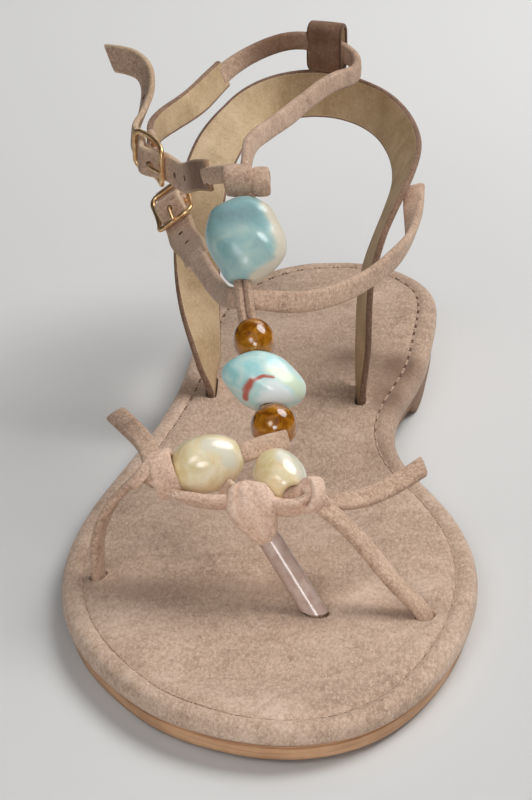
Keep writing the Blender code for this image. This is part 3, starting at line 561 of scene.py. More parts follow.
TAIL_OUTER = (
    (32.6, 185.6, 27.2, 0.9, 0.35, 0.2, 4.8),
    (34.6, 176.8, 28.8, 0.8, 0.35, -0.3, 4.8),
    (38.6, 168.4, 29.4, 0.7, 0.3, -0.55, 4.8),
    (42.9, 160, 29.3, 0.7, 0.3, -0.6, 4.8),
)
TAIL_INNER = (
    (-1.8, 190.2, 23.4, 0.6, -0.6, 0.5, 4.6),
    (-6.5, 186.6, 21, 0.6, -0.6, 0.5, 4.6),
    (-11.8, 182, 19.4, 0.6, -0.6, 0.5, 4.6),
    (-18.6, 175.8, 19.6, 0.6, -0.6, 0.5, 4.6),
    (-25.6, 169.2, 21.4, 0.6, -0.6, 0.5, 4.6),
)

# Wraps of the knots: name, node, centre, axis, direction of the first radius, radii, width
KNOT_WRAPS = (
    ("top_wrap_outer", "instep_strap", (16.9, 122.6, 71.6), (1, 0, 0.05), (0, 1, 0), (3.2, 3), 6.6),
    ("top_wrap_inner", "instep_strap", (11.8, 122.8, 71.3), (1, 0.15, 0), (0, 1, 0), (2.9, 2.7), 4),
    ("outer_wrap_front", "thong_strap", (30.2, 185.6, 26.7), (0.9, 0.2, -0.3), (0, 1, 0), (3.5, 4.7), 5.4),
    ("outer_wrap_back", "thong_strap", (34.4, 185.2, 27.4), (0.8, -0.2, 0.55), (0, 1, 0), (2.6, 4), 3),
    ("inner_wrap_front", "thong_strap", (-1.5, 190.6, 24.4), (0.75, 0.6, 0.25), (0, 0, 1), (3.3, 2.9), 3.6),
    ("inner_wrap_back", "thong_strap", (-2.6, 189, 23.4), (0.8, 0.2, -0.55), (0, 1, 0), (2.3, 2.9), 3.4),
)
WRAP_WALL = 1.5
WRAP_CROWN = 0.12
# Unevenness of a wrap: stations, shares of its radius, shift along its axis, share of its width and its phase
TURN_STATIONS = 72
TURN_SWAYS = (0.04, 0.03)
TURN_SHIFT = 0.35
TURN_SWELL = 0.06
SWELL_PHASE = 1.7
# Hidden cord inside each knot: name, node, centre, half sizes
KNOT_CORES = (
    ("top_knot_core", "instep_strap", (14.6, 122.6, 71.5), (4.8, 2.8, 2.6)),
    ("outer_knot_core", "thong_strap", (32.6, 185.6, 27), (2.8, 2.8, 3.4)),
    ("inner_knot_core", "thong_strap", (-2.4, 189.2, 23.6), (1.9, 1.9, 2.4)),
)
CORE_RINGS = 17
CORE_SEGMENTS = 28
CORE_SHARE = 0.98

# Camera and light, in metres of the row frame
CAMERA_PLACE = (-0.0342, 0.688, 0.3275)
CAMERA_TARGET = (0.0008, 0.04, 0.044)
CAMERA_UP = (0.00748, -0.40041, 0.91631)
CAMERA_SENSOR = 36.0
CAMERA_LENS = 144.39
# Area lights: name, place, target, two sizes, watts, spread in degrees, colour
LIGHTS = (
    ("key", (-0.56, -0.24, 0.95), (0, 0.02, 0.03), (0.7, 0.7), 9.1, 180, (1, 0.99, 0.97)),
    ("back", (-0.3, -0.9, 0.9), (0, 0, 0.03), (0.8, 0.8), 2.6, 180, (1, 1, 1)),
    ("front", (0.06, 0.5, 0.52), (0, 0.14, 0), (0.8, 0.8), 0.5, 180, (1, 0.99, 0.98)),
    ("toe_high", (0.14, 0.45, 0.36), (0.006, 0.07, 0.02), (0.25, 0.25), 0.055, 45, (1, 0.99, 0.98)),
    ("toe_low", (-0.05, 0.55, 0.2), (0.006, 0.07, 0.02), (0.2, 0.2), 0.045, 40, (1, 0.99, 0.98)),
    ("low", (-0.5, 0.8, 0.1), (0, 0.04, 0.05), (0.07, 0.34), 0.11, 180, (1, 1, 1)),
)
WORLD_GREY = 0.85
WORLD_STRENGTH = 0.03
LAMP_UP = (0.0, 1.0, 0.1)
FLOOR_SIZE = 4.0
FLOOR_DROP = 0.1


def place(points, base=FOOTBED_TOP):
    """Sandal millimetres to metres, with the origin under the middle of the sole."""
    moved = np.asarray(points, float) - (SOLE_MIDDLE_X, SOLE_LENGTH / 2, -base)
    return moved * MM


def unit(vector):
    """The same direction, or directions, at length 1."""
    vector = np.asarray(vector, float)
    return vector / np.linalg.norm(vector, axis=-1, keepdims=True)


def square_to(vector, axis):
    """Unit direction of the part of a vector that is square to a unit axis, for one or many."""
    vector = np.asarray(vector, float)
    return unit(vector - (vector * axis).sum(-1, keepdims=True) * axis)


def full_turn(count):
    """Angles that part a circle evenly."""
    return np.linspace(0.0, 2 * math.pi, count, endpoint=False)


def circle(turn, first, second):
    """Points at the angles of a circle that is spanned by two vectors."""
    return np.outer(np.cos(turn), first) + np.outer(np.sin(turn), second)


def loop_tangent(path):
    """Direction along a closed path at each of its points."""
    return unit(np.roll(path, -1, axis=0) - np.roll(path, 1, axis=0))


def natural_spline(knots, values, reads):
    """Natural cubic spline through values at the knots, evaluated at reads."""
    steps = np.diff(knots)
    count = len(knots)
    system = np.eye(count)
    right = np.zeros_like(values)
    for i in range(1, count - 1):
        system[i, i - 1:i + 2] = steps[i - 1], 2 * (steps[i - 1] + steps[i]), steps[i]
        slope_after = (values[i + 1] - values[i]) / steps[i]
        slope_before = (values[i] - values[i - 1]) / steps[i - 1]
        right[i] = 6 * (slope_after - slope_before)
    bend = np.linalg.solve(system, right)
    i = np.clip(np.searchsorted(knots, reads) - 1, 0, count - 2)
    step = steps[i][:, None]
    after = (reads - knots[i])[:, None]
    before = step - after
    curve = (bend[i] * before ** 3 + bend[i + 1] * after ** 3) / (6 * step)
    line_before = (values[i] / step - bend[i] * step / 6) * before
    line_after = (values[i + 1] / step - bend[i + 1] * step / 6) * after
    return curve + line_before + line_after


def chord_lengths(points):
    return np.concatenate([[0.0], np.cumsum(np.linalg.norm(np.diff(points, axis=0), axis=1))])


def waver(along, seed, scale=WAVER_SCALE):
    """Slow uneven wave of about -1 to 1, the same in every run."""
    phases = np.random.default_rng(SEED + seed).uniform(0.0, 2 * math.pi, len(WAVER_PACES))
    waves = [np.sin(along / scale * pace + phase) for pace, phase in zip(WAVER_PACES, phases)]
    return sum(waves) / WAVER_SUM


def bumps(x, y, table):
    """Sum of soft mounds from rows of x, y, spread in x, spread in y and height."""
    total = np.zeros_like(x)
    for centre_x, centre_y, spread_x, spread_y, height in table:
        away = ((x - centre_x) / spread_x) ** 2 + ((y - centre_y) / spread_y) ** 2
        total += height * np.exp(-away)
    return total


def smooth(mesh):
    mesh.shade_smooth()
    mesh.set_sharp_from_angle(angle=SHARP_ANGLE)


def mesh_object(name, vertices, faces, groups=None, values=None):
    """Object from points in metres, with its normals out."""
    mesh = bpy.data.meshes.new(name)
    mesh.from_pydata(np.asarray(vertices).tolist(), [], faces)
    if groups is not None:
        mesh.polygons.foreach_set("material_index", groups)
    for key, series in (values or {}).items():
        layer = mesh.attributes.new(key, "FLOAT", "POINT")
        layer.data.foreach_set("value", np.asarray(series, float).ravel())
    edit = bmesh.new()
    edit.from_mesh(mesh)
    bmesh.ops.recalc_face_normals(edit, faces=edit.faces)
    edit.to_mesh(mesh)
    edit.free()
    smooth(mesh)
    made = bpy.data.objects.new(name, mesh)
    bpy.context.scene.collection.objects.link(made)
    return made


def dress(made, node, materials):
    """Give a piece its materials and let it ride on the body in place of its node."""
    for finish in materials:
        made.data.materials.append(finish)
    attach(made, BODY)
    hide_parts(node)
    return made


def cut(base, cutter):
    """Cut one mesh out of another, then remove the cutter."""
    modifier = base.modifiers.new("cut", "BOOLEAN")
    modifier.operation = "DIFFERENCE"
    modifier.solver = "EXACT"
    modifier.object = cutter
    depsgraph = bpy.context.evaluated_depsgraph_get()
    result = bpy.data.meshes.new_from_object(base.evaluated_get(depsgraph))
    base.modifiers.remove(modifier)
    base.data = result
    bpy.data.objects.remove(cutter)
    smooth(result)


def grid_faces(count, sides, closed=False):
    """Quads between rings of equal size; the ring itself is closed."""
    faces = []
    for ring in range(count if closed else count - 1):
        following = (ring + 1) % count
        for side in range(sides):
            turned = (side + 1) % sides
            faces.append((ring * sides + side, ring * sides + turned,
                          following * sides + turned, following * sides + side))
    return faces


def tube_faces(count, sides):
    """Quads between rings, with a face on each end."""
    return grid_faces(count, sides) + [tuple(range(sides)), tuple(range((count - 1) * sides, count * sides))]


def loft(name, path, across, off_face, reach, height, closed=False, lean=0.0, groups=None, values=None):
    """Sections of reach and height swept along a path, capped at the ends unless closed."""
    rings = path[:, None] + across[:, None] * reach[..., None] + off_face[:, None] * height[..., None] + lean
    count, sides = reach.shape
    faces = grid_faces(count, sides, True) if closed else tube_faces(count, sides)
    if groups is not None:
        groups = list(groups) * (len(faces) // sides) + [1] * (len(faces) % sides)
    return mesh_object(name, place(rings.reshape(-1, 3)), faces, groups, values)


def frames(rows, reads):
    """Path, tangent, directions across and off the face, and half width of a strap at distances along it."""
    rows = np.asarray(rows, float)
    points = rows[:, :3]
    knots = chord_lengths(points)
    path = natural_spline(knots, points, reads)
    ahead = natural_spline(knots, points, np.minimum(reads + TANGENT_STEP, knots[-1]))
    behind = natural_spline(knots, points, np.maximum(reads - TANGENT_STEP, 0.0))
    tangent = unit(ahead - behind)
    across = np.stack([np.interp(reads, knots, column) for column in rows[:, 3:6].T], axis=1)
    across = square_to(across, tangent)
    half_width = np.interp(reads, knots, rows[:, 6])[:, None] / 2
    return path, tangent, across, np.cross(tangent, across), half_width


def strap_section(half_width, half_thickness, crown):
    """Reach and height round a strap's section, and the face that each following side belongs to."""
    flat = np.linspace(-1.0, 1.0, FACE_STEPS + 1)[None]
    turn = np.linspace(math.pi / 2, -math.pi / 2, SIDE_STEPS + 1)[None, 1:-1]
    straight = half_width - EDGE_ROUND * half_thickness
    round_reach = np.cos(turn) * EDGE_ROUND * half_thickness
    round_height = np.sin(turn) * half_thickness
    swell = crown * (1 - flat ** 2)
    reach = np.concatenate([straight * flat, straight + round_reach,
                            -straight * flat, -straight - round_reach], axis=1)
    height = np.concatenate([half_thickness + swell, round_height,
                             -half_thickness - swell, -round_height], axis=1)
    sides = [0] * FACE_STEPS + [1] * SIDE_STEPS + [2] * FACE_STEPS + [1] * SIDE_STEPS
    return reach, height, sides


def strap(name, rows, thickness, node, look, cuts=SQUARE_ENDS, crown=CORD_CROWN):
    """Soft ribbon along rows of x, y, z, direction across and width; cuts slant its two ends.

    A strap without a look is returned bare, to be punched and dressed later.
    """
    total = chord_lengths(np.asarray(rows, float)[:, :3])[-1]
    along = np.linspace(0.0, total, max(STRAP_STATIONS, round(total / STRAP_SPACING) + 1))
    path, tangent, across, off_face, half_width = frames(rows, along)
    seed = len(name) + round(total * 10)
    half_width = half_width + WIDTH_WAVER * waver(along, seed)[:, None]
    drift = FACE_WAVER * waver(along, seed + 1) * np.sin(math.pi * along / total)
    path = path + off_face * drift[:, None]
    half = np.full_like(half_width, thickness / 2)
    from_ends = (along, total - along)
    slant = sum(shift * np.clip(1 - away / CUT_RUN, 0, 1) for shift, away in zip(cuts, from_ends))
    # one narrower section at each end rounds the cut
    ends = [0, *range(len(along)), -1]
    push = np.zeros((len(ends), 1))
    push[[0, -1], 0] = -END_PUSH * thickness / 2, END_PUSH * thickness / 2
    trim = np.zeros_like(push)
    trim[[0, -1]] = END_TRIM * thickness / 2
    path = path[ends] + tangent[ends] * push
    reach, height, sides = strap_section(half_width[ends] - trim, half[ends] - trim, crown)
    share = reach / half_width[ends]
    lean = tangent[ends][:, None] * (slant[ends][:, None] * share)[..., None]
    # painted shade along the lengths that the table of strap shades lists
    middle, spread, amount = STRAP_PAINTED_SHADES.get(name, (0.0, 1.0, 0.0))
    shade = amount * np.exp(-((along[ends] - middle) / spread) ** 2)
    values = {"edge": np.abs(share), "painted_shade": np.repeat(shade, reach.shape[1])}
    made = loft(name, path, across[ends], off_face[ends], reach, height, False, lean, sides, values)
    return dress(made, node, look) if look else made


def rounded(name, points, diameter, node, look, side=SIDEWAYS, taper=1.0):
    """Round cord or wire through points, with its last part tapered."""
    rows = [(*point, *side, diameter) for point in points]
    total = chord_lengths(np.asarray(points, float))[-1]
    along = np.linspace(0.0, total, max(ROUND_STATIONS, round(total / ROUND_SPACING) + 1))
    path, _, across, off_face, half_width = frames(rows, along)
    past = (along - TAPER_START * total) / ((1 - TAPER_START) * total)
    size = half_width * (1 - (1 - taper) * np.clip(past, 0, 1) ** 2)[:, None]
    turn = full_turn(ROUND_SEGMENTS)[None]
    made = loft(name, path, across, off_face, size * np.cos(turn), size * np.sin(turn))
    return dress(made, node, look)


def pillow(name, rows, node, look):
    """Soft lump of folded strap along rows of x, y, z, direction across, width and depth."""
    rows = np.asarray(rows, float)
    knots = chord_lengths(rows[:, :3])
    along = np.linspace(0.0, knots[-1], round(knots[-1] / ROUND_SPACING) + 1)
    path, _, across, off_face, _ = frames(rows, along)
    half_width, half_depth = np.split(natural_spline(knots, rows[:, 6:], along) / 2, 2, axis=1)
    turn = full_turn(PILLOW_SEGMENTS)[None]
    face = np.sign(np.sin(turn))
    reach = half_width * np.sign(np.cos(turn)) * np.abs(np.cos(turn)) ** PILLOW_POWER
    height = half_depth * face * np.abs(np.sin(turn)) ** PILLOW_POWER
    for share, spread, depth in FOLD_CREASES:
        height -= depth * face * np.exp(-((reach / half_width - share) / spread) ** 2)
    return dress(loft(name, path, across, off_face, reach, height), node, look)


def ring_band(name, node, centre, axis, start, radii, width, thickness, look, seed=0):
    """Closed flat band wrapped round an axis, as one turn of a knot."""
    axis = unit(axis)
    first = square_to(start, axis)
    second = np.cross(axis, first)
    turn = full_turn(TURN_STATIONS)
    sway = 1 + TURN_SWAYS[0] * np.sin(2 * turn + seed) + TURN_SWAYS[1] * np.sin(3 * turn + 2 * seed)
    path = np.asarray(centre) + circle(turn, first * radii[0], second * radii[1]) * sway[:, None]
    path += np.outer(TURN_SHIFT * np.sin(turn + seed), axis)
    tangent = loop_tangent(path)
    across = square_to(axis, tangent)
    half_width = width / 2 * (1 + TURN_SWELL * np.sin(2 * turn + SWELL_PHASE * seed))[:, None]
    reach, height, sides = strap_section(half_width, np.full_like(half_width, thickness / 2), WRAP_CROWN)
    values = {"edge": np.abs(reach) / half_width}
    made = loft(name, path, across, np.cross(tangent, across), reach, height, True, 0.0, sides, values)
    return dress(made, node, look)


def linear(colour):
    """Linear colour from one as seen, 0 to 255."""
    share = np.asarray(colour, float) / 255
    return (*np.where(share <= 0.04045, share / 12.92, ((share + 0.055) / 1.055) ** 2.4), 1.0)


def blank(name, sockets):
    """New material with constant values set on its shader, and its node tree."""
    made = bpy.data.materials.new(name)
    made.use_nodes = True
    shader = made.node_tree.nodes["Principled BSDF"]
    for key, value in sockets.items():
        shader.inputs[key].default_value = value
    return made, made.node_tree


def finished(made, links):
    """Link values to the named sockets of a material's shader."""
    tree = made.node_tree
    for key, value in links.items():
        tree.links.new(value, tree.nodes["Principled BSDF"].inputs[key])
    return made


def add_node(tree, kind, inputs, output=0, **settings):
    """Add a node, set or link its inputs and return one output."""
    node = tree.nodes.new(kind)
    for key, value in settings.items():
        setattr(node, key, value)
    for key, value in inputs.items():
        if isinstance(value, bpy.types.NodeSocket):
            tree.links.new(value, node.inputs[key])
        else:
            node.inputs[key].default_value = value
    return node.outputs[output]


def noise(tree, size, detail=3.0, rough=0.55, stretch=(1.0, 1.0, 1.0), distort=0.0):
    """Noise in the object's own space, with features of about the given size in mm."""
    point = add_node(tree, "ShaderNodeTexCoord", {}, "Object")
    point = add_node(tree, "ShaderNodeMapping", {"Vector": point, "Scale": stretch})
    inputs = {"Vector": point, "Scale": 1 / (size * MM), "Detail": detail, "Roughness": rough,
              "Distortion": distort}
    return add_node(tree, "ShaderNodeTexNoise", inputs)


def math_node(tree, operation, first, second, third=0.0):
    return add_node(tree, "ShaderNodeMath", {0: first, 1: second, 2: third}, operation=operation)


def blend_values(tree, *parts):
    """Weighted sum of several values."""
    total = 0.0
    for value, weight in parts:
        total = math_node(tree, "MULTIPLY_ADD", value, weight, total)
    return total


def ramp(tree, factor, *stops):
    """Colour ramp through stops of position and colour as seen."""
    node = tree.nodes.new("ShaderNodeValToRGB")
    elements = node.color_ramp.elements
    while len(elements) < len(stops):
        elements.new(0.5)
    for element, (position, colour) in zip(elements, stops):
        element.position = position
        element.color = linear(colour)
    tree.links.new(factor, node.inputs["Fac"])
    return node.outputs["Color"]


def mix(tree, factor, first, second):
    inputs = {0: factor, 6: first, 7: second}
    return add_node(tree, "ShaderNodeMix", inputs, 2, data_type="RGBA")


def attribute(tree, name):
    return add_node(tree, "ShaderNodeAttribute", {}, "Fac", attribute_name=name)


def bump(tree, height, distance, strength=1.0, normal=None):
    inputs = {"Height": height, "Distance": distance * MM, "Strength": strength}
    if normal:
        inputs["Normal"] = normal
    return add_node(tree, "ShaderNodeBump", inputs)


def step_range(tree, value, low, high):
    """0 below low, 1 above high."""
    inputs = {"Value": value, "From Min": low, "From Max": high}
    return add_node(tree, "ShaderNodeMapRange", inputs, interpolation_type="SMOOTHSTEP")


def suede_material(name, dark, middle, light, painted_shade, stretch=(1.0, 1.0, 1.0)):
    """Brushed suede: broad clouds, nap patches, pale speckle, painted shade where a piece asks for it, and a
    fuzzy surface.
    """
    sockets = {"Roughness": 0.95, "Sheen Weight": 0.3, "Sheen Roughness": 0.45,
               "Sheen Tint": linear((255, 236, 220)), "Specular IOR Level": 0.2}
    made, tree = blank(name, sockets)
    cloud = noise(tree, 24.0, 3.0, 0.6)
    nap = noise(tree, 4.0, 4.0, 0.65, distort=0.6)
    grain = noise(tree, 0.75, 3.0, 0.7, stretch)
    fibre = noise(tree, 0.36, 2.0, 0.6, stretch)
    tone = blend_values(tree, (cloud, 0.24), (nap, 0.24), (grain, 0.34), (fibre, 0.18))
    colour = ramp(tree, tone, (0.39, dark), (0.5, middle), (0.61, light))
    speckle = step_range(tree, noise(tree, 0.7, 2.0, 0.6, stretch), 0.56, 0.68)
    colour = mix(tree, math_node(tree, "MULTIPLY", speckle, 0.7), colour, linear(light))
    # painted shade, as much as each piece's attribute asks for, broken up by the nap and the clouds
    patchy = blend_values(tree, (nap, 0.8), (cloud, 0.8))
    amount = math_node(tree, "MULTIPLY", attribute(tree, "painted_shade"), patchy)
    colour = mix(tree, step_range(tree, amount, 0.0, 0.9), colour, linear(painted_shade))
    soft = bump(tree, nap, 0.5, 0.5)
    fuzzy = bump(tree, blend_values(tree, (grain, 0.6), (fibre, 0.4)), 0.28, 0.8, soft)
    return finished(made, {"Base Color": colour, "Normal": fuzzy})


def lining_material(name, dark, light, rim):
    """Smooth cream lining leather with a paler rim along the strap's edges."""
    made, tree = blank(name, {"Roughness": 0.62, "Specular IOR Level": 0.35})
    cloud = noise(tree, 9.0, 3.0, 0.6)
    pores = noise(tree, 0.7, 3.0, 0.6)
    colour = ramp(tree, blend_values(tree, (cloud, 0.65), (pores, 0.35)), (0.36, dark), (0.62, light))
    edge = step_range(tree, attribute(tree, "edge"), 0.84, 0.92)
    colour = mix(tree, math_node(tree, "MULTIPLY", edge, 0.6), colour, linear(rim))
    return finished(made, {"Base Color": colour, "Normal": bump(tree, pores, 0.12, 0.6)})


def outsole_material():
    """Tan outsole with fine lines along its cut edge, small scuffs and painted shade on the heel block."""
    made, tree = blank("outsole_tan", {"Roughness": 0.6, "Specular IOR Level": 0.4})
    layers = noise(tree, 7.0, 4.0, 0.6, (0.3, 0.3, 9.0))
    cloud = noise(tree, 14.0, 3.0, 0.6)
    colour = ramp(tree, blend_values(tree, (layers, 0.55), (cloud, 0.45)),
                  (0.34, (172, 130, 97)), (0.52, (204, 160, 123)), (0.68, (222, 184, 146)))
    scuff = step_range(tree, noise(tree, 2.2, 4.0, 0.7), 0.62, 0.72)
    colour = mix(tree, math_node(tree, "MULTIPLY", scuff, 0.4), colour, linear((232, 200, 166)))
    # painted shade on the heel block, as much as the piece's attribute asks for
    colour = mix(tree, attribute(tree, "painted_shade"), colour, linear((110, 82, 64)))
    return finished(made, {"Base Color": colour, "Normal": bump(tree, layers, 0.2, 0.5)})


def cloudy_material(name, sockets, grain, stops, relief=None):
    """One scale of noise for the colour and, where it has depth and strength, for the relief."""
    made, tree = blank(name, sockets)
    cloud = noise(tree, *grain)
    links = {"Base Color": ramp(tree, cloud, *stops)}
    if relief:
        links["Normal"] = bump(tree, cloud, *relief)
    return finished(made, links)


def gold_material():
    """Warm polished metal with fine wear."""
    made, tree = blank("gold_polish", {"Metallic": 0.9, "Roughness": 0.36})
    wear = noise(tree, 1.6, 4.0, 0.65)
    colour = ramp(tree, wear, (0.36, (216, 168, 116)), (0.55, (240, 204, 154)), (0.7, (250, 226, 188)))
    rough = ramp(tree, wear, (0.3, (140, 140, 140)), (0.7, (176, 176, 176)))
    scratched = bump(tree, noise(tree, 0.9, 3.0), 0.05, 0.4)
    return finished(made, {"Base Color": colour, "Roughness": rough, "Normal": scratched})


def stone_material(look):
    """Polished bead: cloudy colours with frayed marks painted over them."""
    made, tree = blank(look["finish"], look["shader"])
    cloud = noise(tree, look["patch"], 3.0, 0.55, distort=1.2)
    fine = noise(tree, 1.4, 3.0, 0.6)
    tone = blend_values(tree, (cloud, 0.6), (attribute(tree, "tone"), 0.5), (fine, 0.16))
    colour = ramp(tree, tone, *look["stops"])
    fray = blend_values(tree, (cloud, 0.9), (fine, 0.9))
    for key, (paint, _) in look["marks"].items():
        amount = math_node(tree, "MULTIPLY", attribute(tree, key), fray)
        colour = mix(tree, step_range(tree, amount, 0.12, 0.75), colour, linear(paint))
    relief = blend_values(tree, (cloud, 1.0), (fine, 0.2))
    return finished(made, {"Base Color": colour, "Normal": bump(tree, relief, 0.25, 0.35)})


def floor_material():
    """Pale seamless studio floor, a little darker at the front: painted light makes it paler towards the
    back.
    """
    made, tree = blank("studio_floor", {"Roughness": 0.9, "Specular IOR Level": 0.1})
    point = add_node(tree, "ShaderNodeTexCoord", {}, "Object")
    depth = add_node(tree, "ShaderNodeSeparateXYZ", {"Vector": point}, "Y")
    # painted light: paler towards the back
    tone = blend_values(tree, (noise(tree, 400.0, 2.0), 0.1), (step_range(tree, depth, 0.1, -0.5), 0.9))
    return finished(made, {"Base Color": ramp(tree, tone, (0.05, (214, 214, 214)), (0.95, (250, 250, 250)))})


TO_CAMERA = unit(np.subtract(CAMERA_PLACE, CAMERA_TARGET))
# Suede of each kind: dark, middle and light tone, then the tone of its painted shade
SUEDE = suede_material("suede_strap", (150, 121, 102), (192, 161, 139), (220, 191, 169), (112, 80, 60))
# Paler copy of the strap suede, painted light for the thong pieces at the toe that catch more light
PAINTED_LIT_SUEDE = suede_material(
    "suede_painted_lit", (184, 152, 132), (224, 191, 169), (244, 218, 200), (132, 100, 80))
FOOTBED_SUEDE = suede_material(
    "suede_footbed", (160, 134, 115), (195, 167, 146), (220, 195, 177), (130, 104, 87), NAP_STRETCH)
CUT_EDGE = suede_material("suede_cut_edge", (176, 146, 118), (206, 178, 150), (226, 202, 176), (140, 108, 82))
BAND_EDGE = suede_material("suede_band_edge", (104, 76, 60), (136, 106, 88), (164, 134, 114), (88, 64, 50))
LINING = lining_material("lining_cream", (178, 150, 112), (214, 188, 152), (234, 212, 182))
OUTSOLE_TAN = outsole_material()
GOLD = gold_material()
# Twisted thread of the seam, painted shade for the inside of its holes, and clear soft plastic with a faint
# mauve tint
THREAD = cloudy_material("seam_thread", {"Roughness": 0.85, "Sheen Weight": 0.15}, (0.5, 2.0, 0.5),
                         ((0.35, (160, 134, 114)), (0.62, (198, 170, 148))), (0.12, 1.0))
HOLE_SHADE = cloudy_material("hole_shade", {"Roughness": 0.95}, (1.0,),
                             ((0.4, (108, 84, 70)), (0.6, (140, 114, 96))))
SLEEVE_CLEAR = cloudy_material(
    "sleeve_clear", {"Roughness": 0.22, "Transmission Weight": 0.3, "IOR": 1.4, "Coat Weight": 0.9},
    (3.0, 3.0), ((0.35, (214, 184, 170)), (0.65, (238, 214, 202))), (0.15, 0.4))
# Faces of a strap: upper side, edge, lower side
PLAIN = (SUEDE, SUEDE, SUEDE)
PAINTED_LIT = (PAINTED_LIT_SUEDE, PAINTED_LIT_SUEDE, PAINTED_LIT_SUEDE)
LINED = (SUEDE, BAND_EDGE, LINING)
LINED_TURNED = (LINING, CUT_EDGE, SUEDE)


def rise(y, start, end):
    """0 before start, 1 after end and an even S-curve between them."""
    t = np.clip((np.asarray(y, float) - start) / (end - start), 0.0, 1.0)
    return t * t * (3 - 2 * t)


def toe_spring(y):
    t = np.clip((np.asarray(y, float) - SPRING_START_Y) / (SOLE_LENGTH - SPRING_START_Y), 0.0, 1.0)
    return TOE_SPRING * t * t


def footbed_top(y):
    return FOOTBED_TOP + HEEL_RISE * (1 - rise(y, RISE_BACK_Y, RISE_FRONT_Y)) + toe_spring(y)


def outsole_top(y):
    return footbed_top(y) - FOOTBED_THICKNESS - GAP


def outsole_bottom(y):
    """Flat under the heel and the ball, raised in the arch between them."""
    arch_back = BREAST_Y + BREAST_RUN
    arch = rise(y, BREAST_Y, arch_back) * (1 - rise(y, arch_back, ARCH_FRONT_Y))
    return ARCH_RISE * arch + toe_spring(y)


def outline_loop():
    """Closed edge of the sole: heel tip, outer side, toe tip, inner side, in pairs of equal y."""
    table = np.array(OUTLINE)
    loop = np.concatenate([table[:, [2, 0]], table[-2:0:-1, [1, 0]]])
    wrapped = np.concatenate([loop[-OUTLINE_OVERLAP:], loop, loop[:OUTLINE_OVERLAP + 1]])
    knots = chord_lengths(wrapped)
    reads = np.linspace(knots[OUTLINE_OVERLAP], knots[OUTLINE_OVERLAP + len(loop)], OUTLINE_READS)
    curve = natural_spline(knots, wrapped, reads)
    toe = int(curve[:, 1].argmax())
    turn = np.linspace(0.0, math.pi, OUTLINE_STATIONS + 1)[1:-1]
    stations = SOLE_LENGTH * (1 - np.cos(turn)) / 2
    outer_x = np.interp(stations, curve[:toe, 1], curve[:toe, 0])
    inner_x = np.interp(stations, curve[:toe:-1, 1], curve[:toe:-1, 0])
    outer_side = np.stack([outer_x, stations], axis=1)
    inner_side = np.stack([inner_x, stations], axis=1)[::-1]
    return np.concatenate([[OUTLINE[0][1::-1]], outer_side, [OUTLINE[-1][1::-1]], inner_side])


def inward_of(loop):
    ahead = np.roll(loop, -1, axis=0) - np.roll(loop, 1, axis=0)
    return unit(np.stack([-ahead[:, 1], ahead[:, 0]], axis=1))


def raised(surface, table, inset=0.0):
    """Rings for a plate from a table of insets and heights above a surface."""
    return [(inset + own, lambda y, lift=lift: surface(y) + lift) for own, lift in table]


def plate(loop, rings):
    """Points and faces of a closed plate: rings of inset and height at its edge, and two filled sides."""
    inward = inward_of(loop)
    count = len(loop)
    pairs = count // 2
    points = []
    for inset, height in rings:
        edge = loop + inward * inset
        points.append(np.column_stack([edge, height(edge[:, 1])]))
    faces = grid_faces(len(rings), count)
    total = count * len(rings)
    steps = np.linspace(0.0, 1.0, PLATE_COLUMNS + 1)[1:-1, None]
    columns = range(PLATE_COLUMNS)
    for ring in (0, len(rings) - 1):
        start = ring * count
        edge = points[ring]
        rows = []
        for i in range(1, pairs):
            fill = edge[i] + (edge[count - i] - edge[i]) * steps
            fill[:, 2] = rings[ring][1](fill[:, 1])
            rows.append([start + i, *range(total, total + len(fill)), start + count - i])
            points.append(fill)
            total += len(fill)
        for row, following in zip(rows, rows[1:]):
            faces += [(row[c], row[c + 1], following[c + 1], following[c]) for c in columns]
        for tip, row in ((start, rows[0]), (start + pairs, rows[-1])):
            faces += [(tip, row[c], row[c + 1]) for c in columns]
    return np.concatenate(points), faces


def build_outsole():
    """Tan outsole and heel in one piece, with a softened lower edge, a line under the footbed and painted
    shade on the heel block.
    """
    rings = raised(outsole_bottom, OUTSOLE_LOWER_RINGS, OUTSOLE_INSET)
    rings += raised(outsole_top, OUTSOLE_UPPER_RINGS, OUTSOLE_INSET)
    points, faces = plate(outline_loop(), rings)
    # painted shade on the heel block
    shade = HEEL_PAINTED_SHADE * (1 - rise(points[:, 1], BREAST_Y, ARCH_FRONT_Y))
    made = mesh_object("outsole_edge", place(points, 0.0), faces, None, {"painted_shade": shade})
    dress(made, "outsole", (OUTSOLE_TAN,))


def footbed_relief(points):
    """Height to add to the footbed's upper side, none on its lower edge."""
    x, y, z = points.T
    share = rise(z - footbed_top(y), -RIM_FADE, 0.0)
    turn = np.arctan2(y - SOLE_LENGTH / 2, (x - SOLE_MIDDLE_X) * RIM_ROUNDNESS)
    rim = RIM_WAVER * waver(turn * RIM_RADIUS, RIM_SEED, RIM_WAVE)
    return share * (bumps(x, y, FOOTBED_WAVES) + rim)


def slot_cutter(x, y, direction_x, direction_y, length, width):
    """Upright slot with half-round ends."""
    along = unit((direction_x, direction_y))
    square = np.array((-along[1], along[0]))
    outline = []
    for end in (1, -1):
        for turn in np.linspace(-math.pi / 2, math.pi / 2, ARC_STEPS):
            reach = end * ((length - width) / 2 + math.cos(turn) * width / 2)
            outline.append(along * reach + square * (end * math.sin(turn) * width / 2) + (x, y))
    levels = [FOOTBED_TOP + side * SLOT_REACH * FOOTBED_THICKNESS for side in (-1, 1)]
    points = [(*point, level) for level in levels for point in outline]
    faces = tube_faces(len(levels), len(outline))
    return mesh_object("slot", place(points, 0.0), faces, [1] * len(faces))


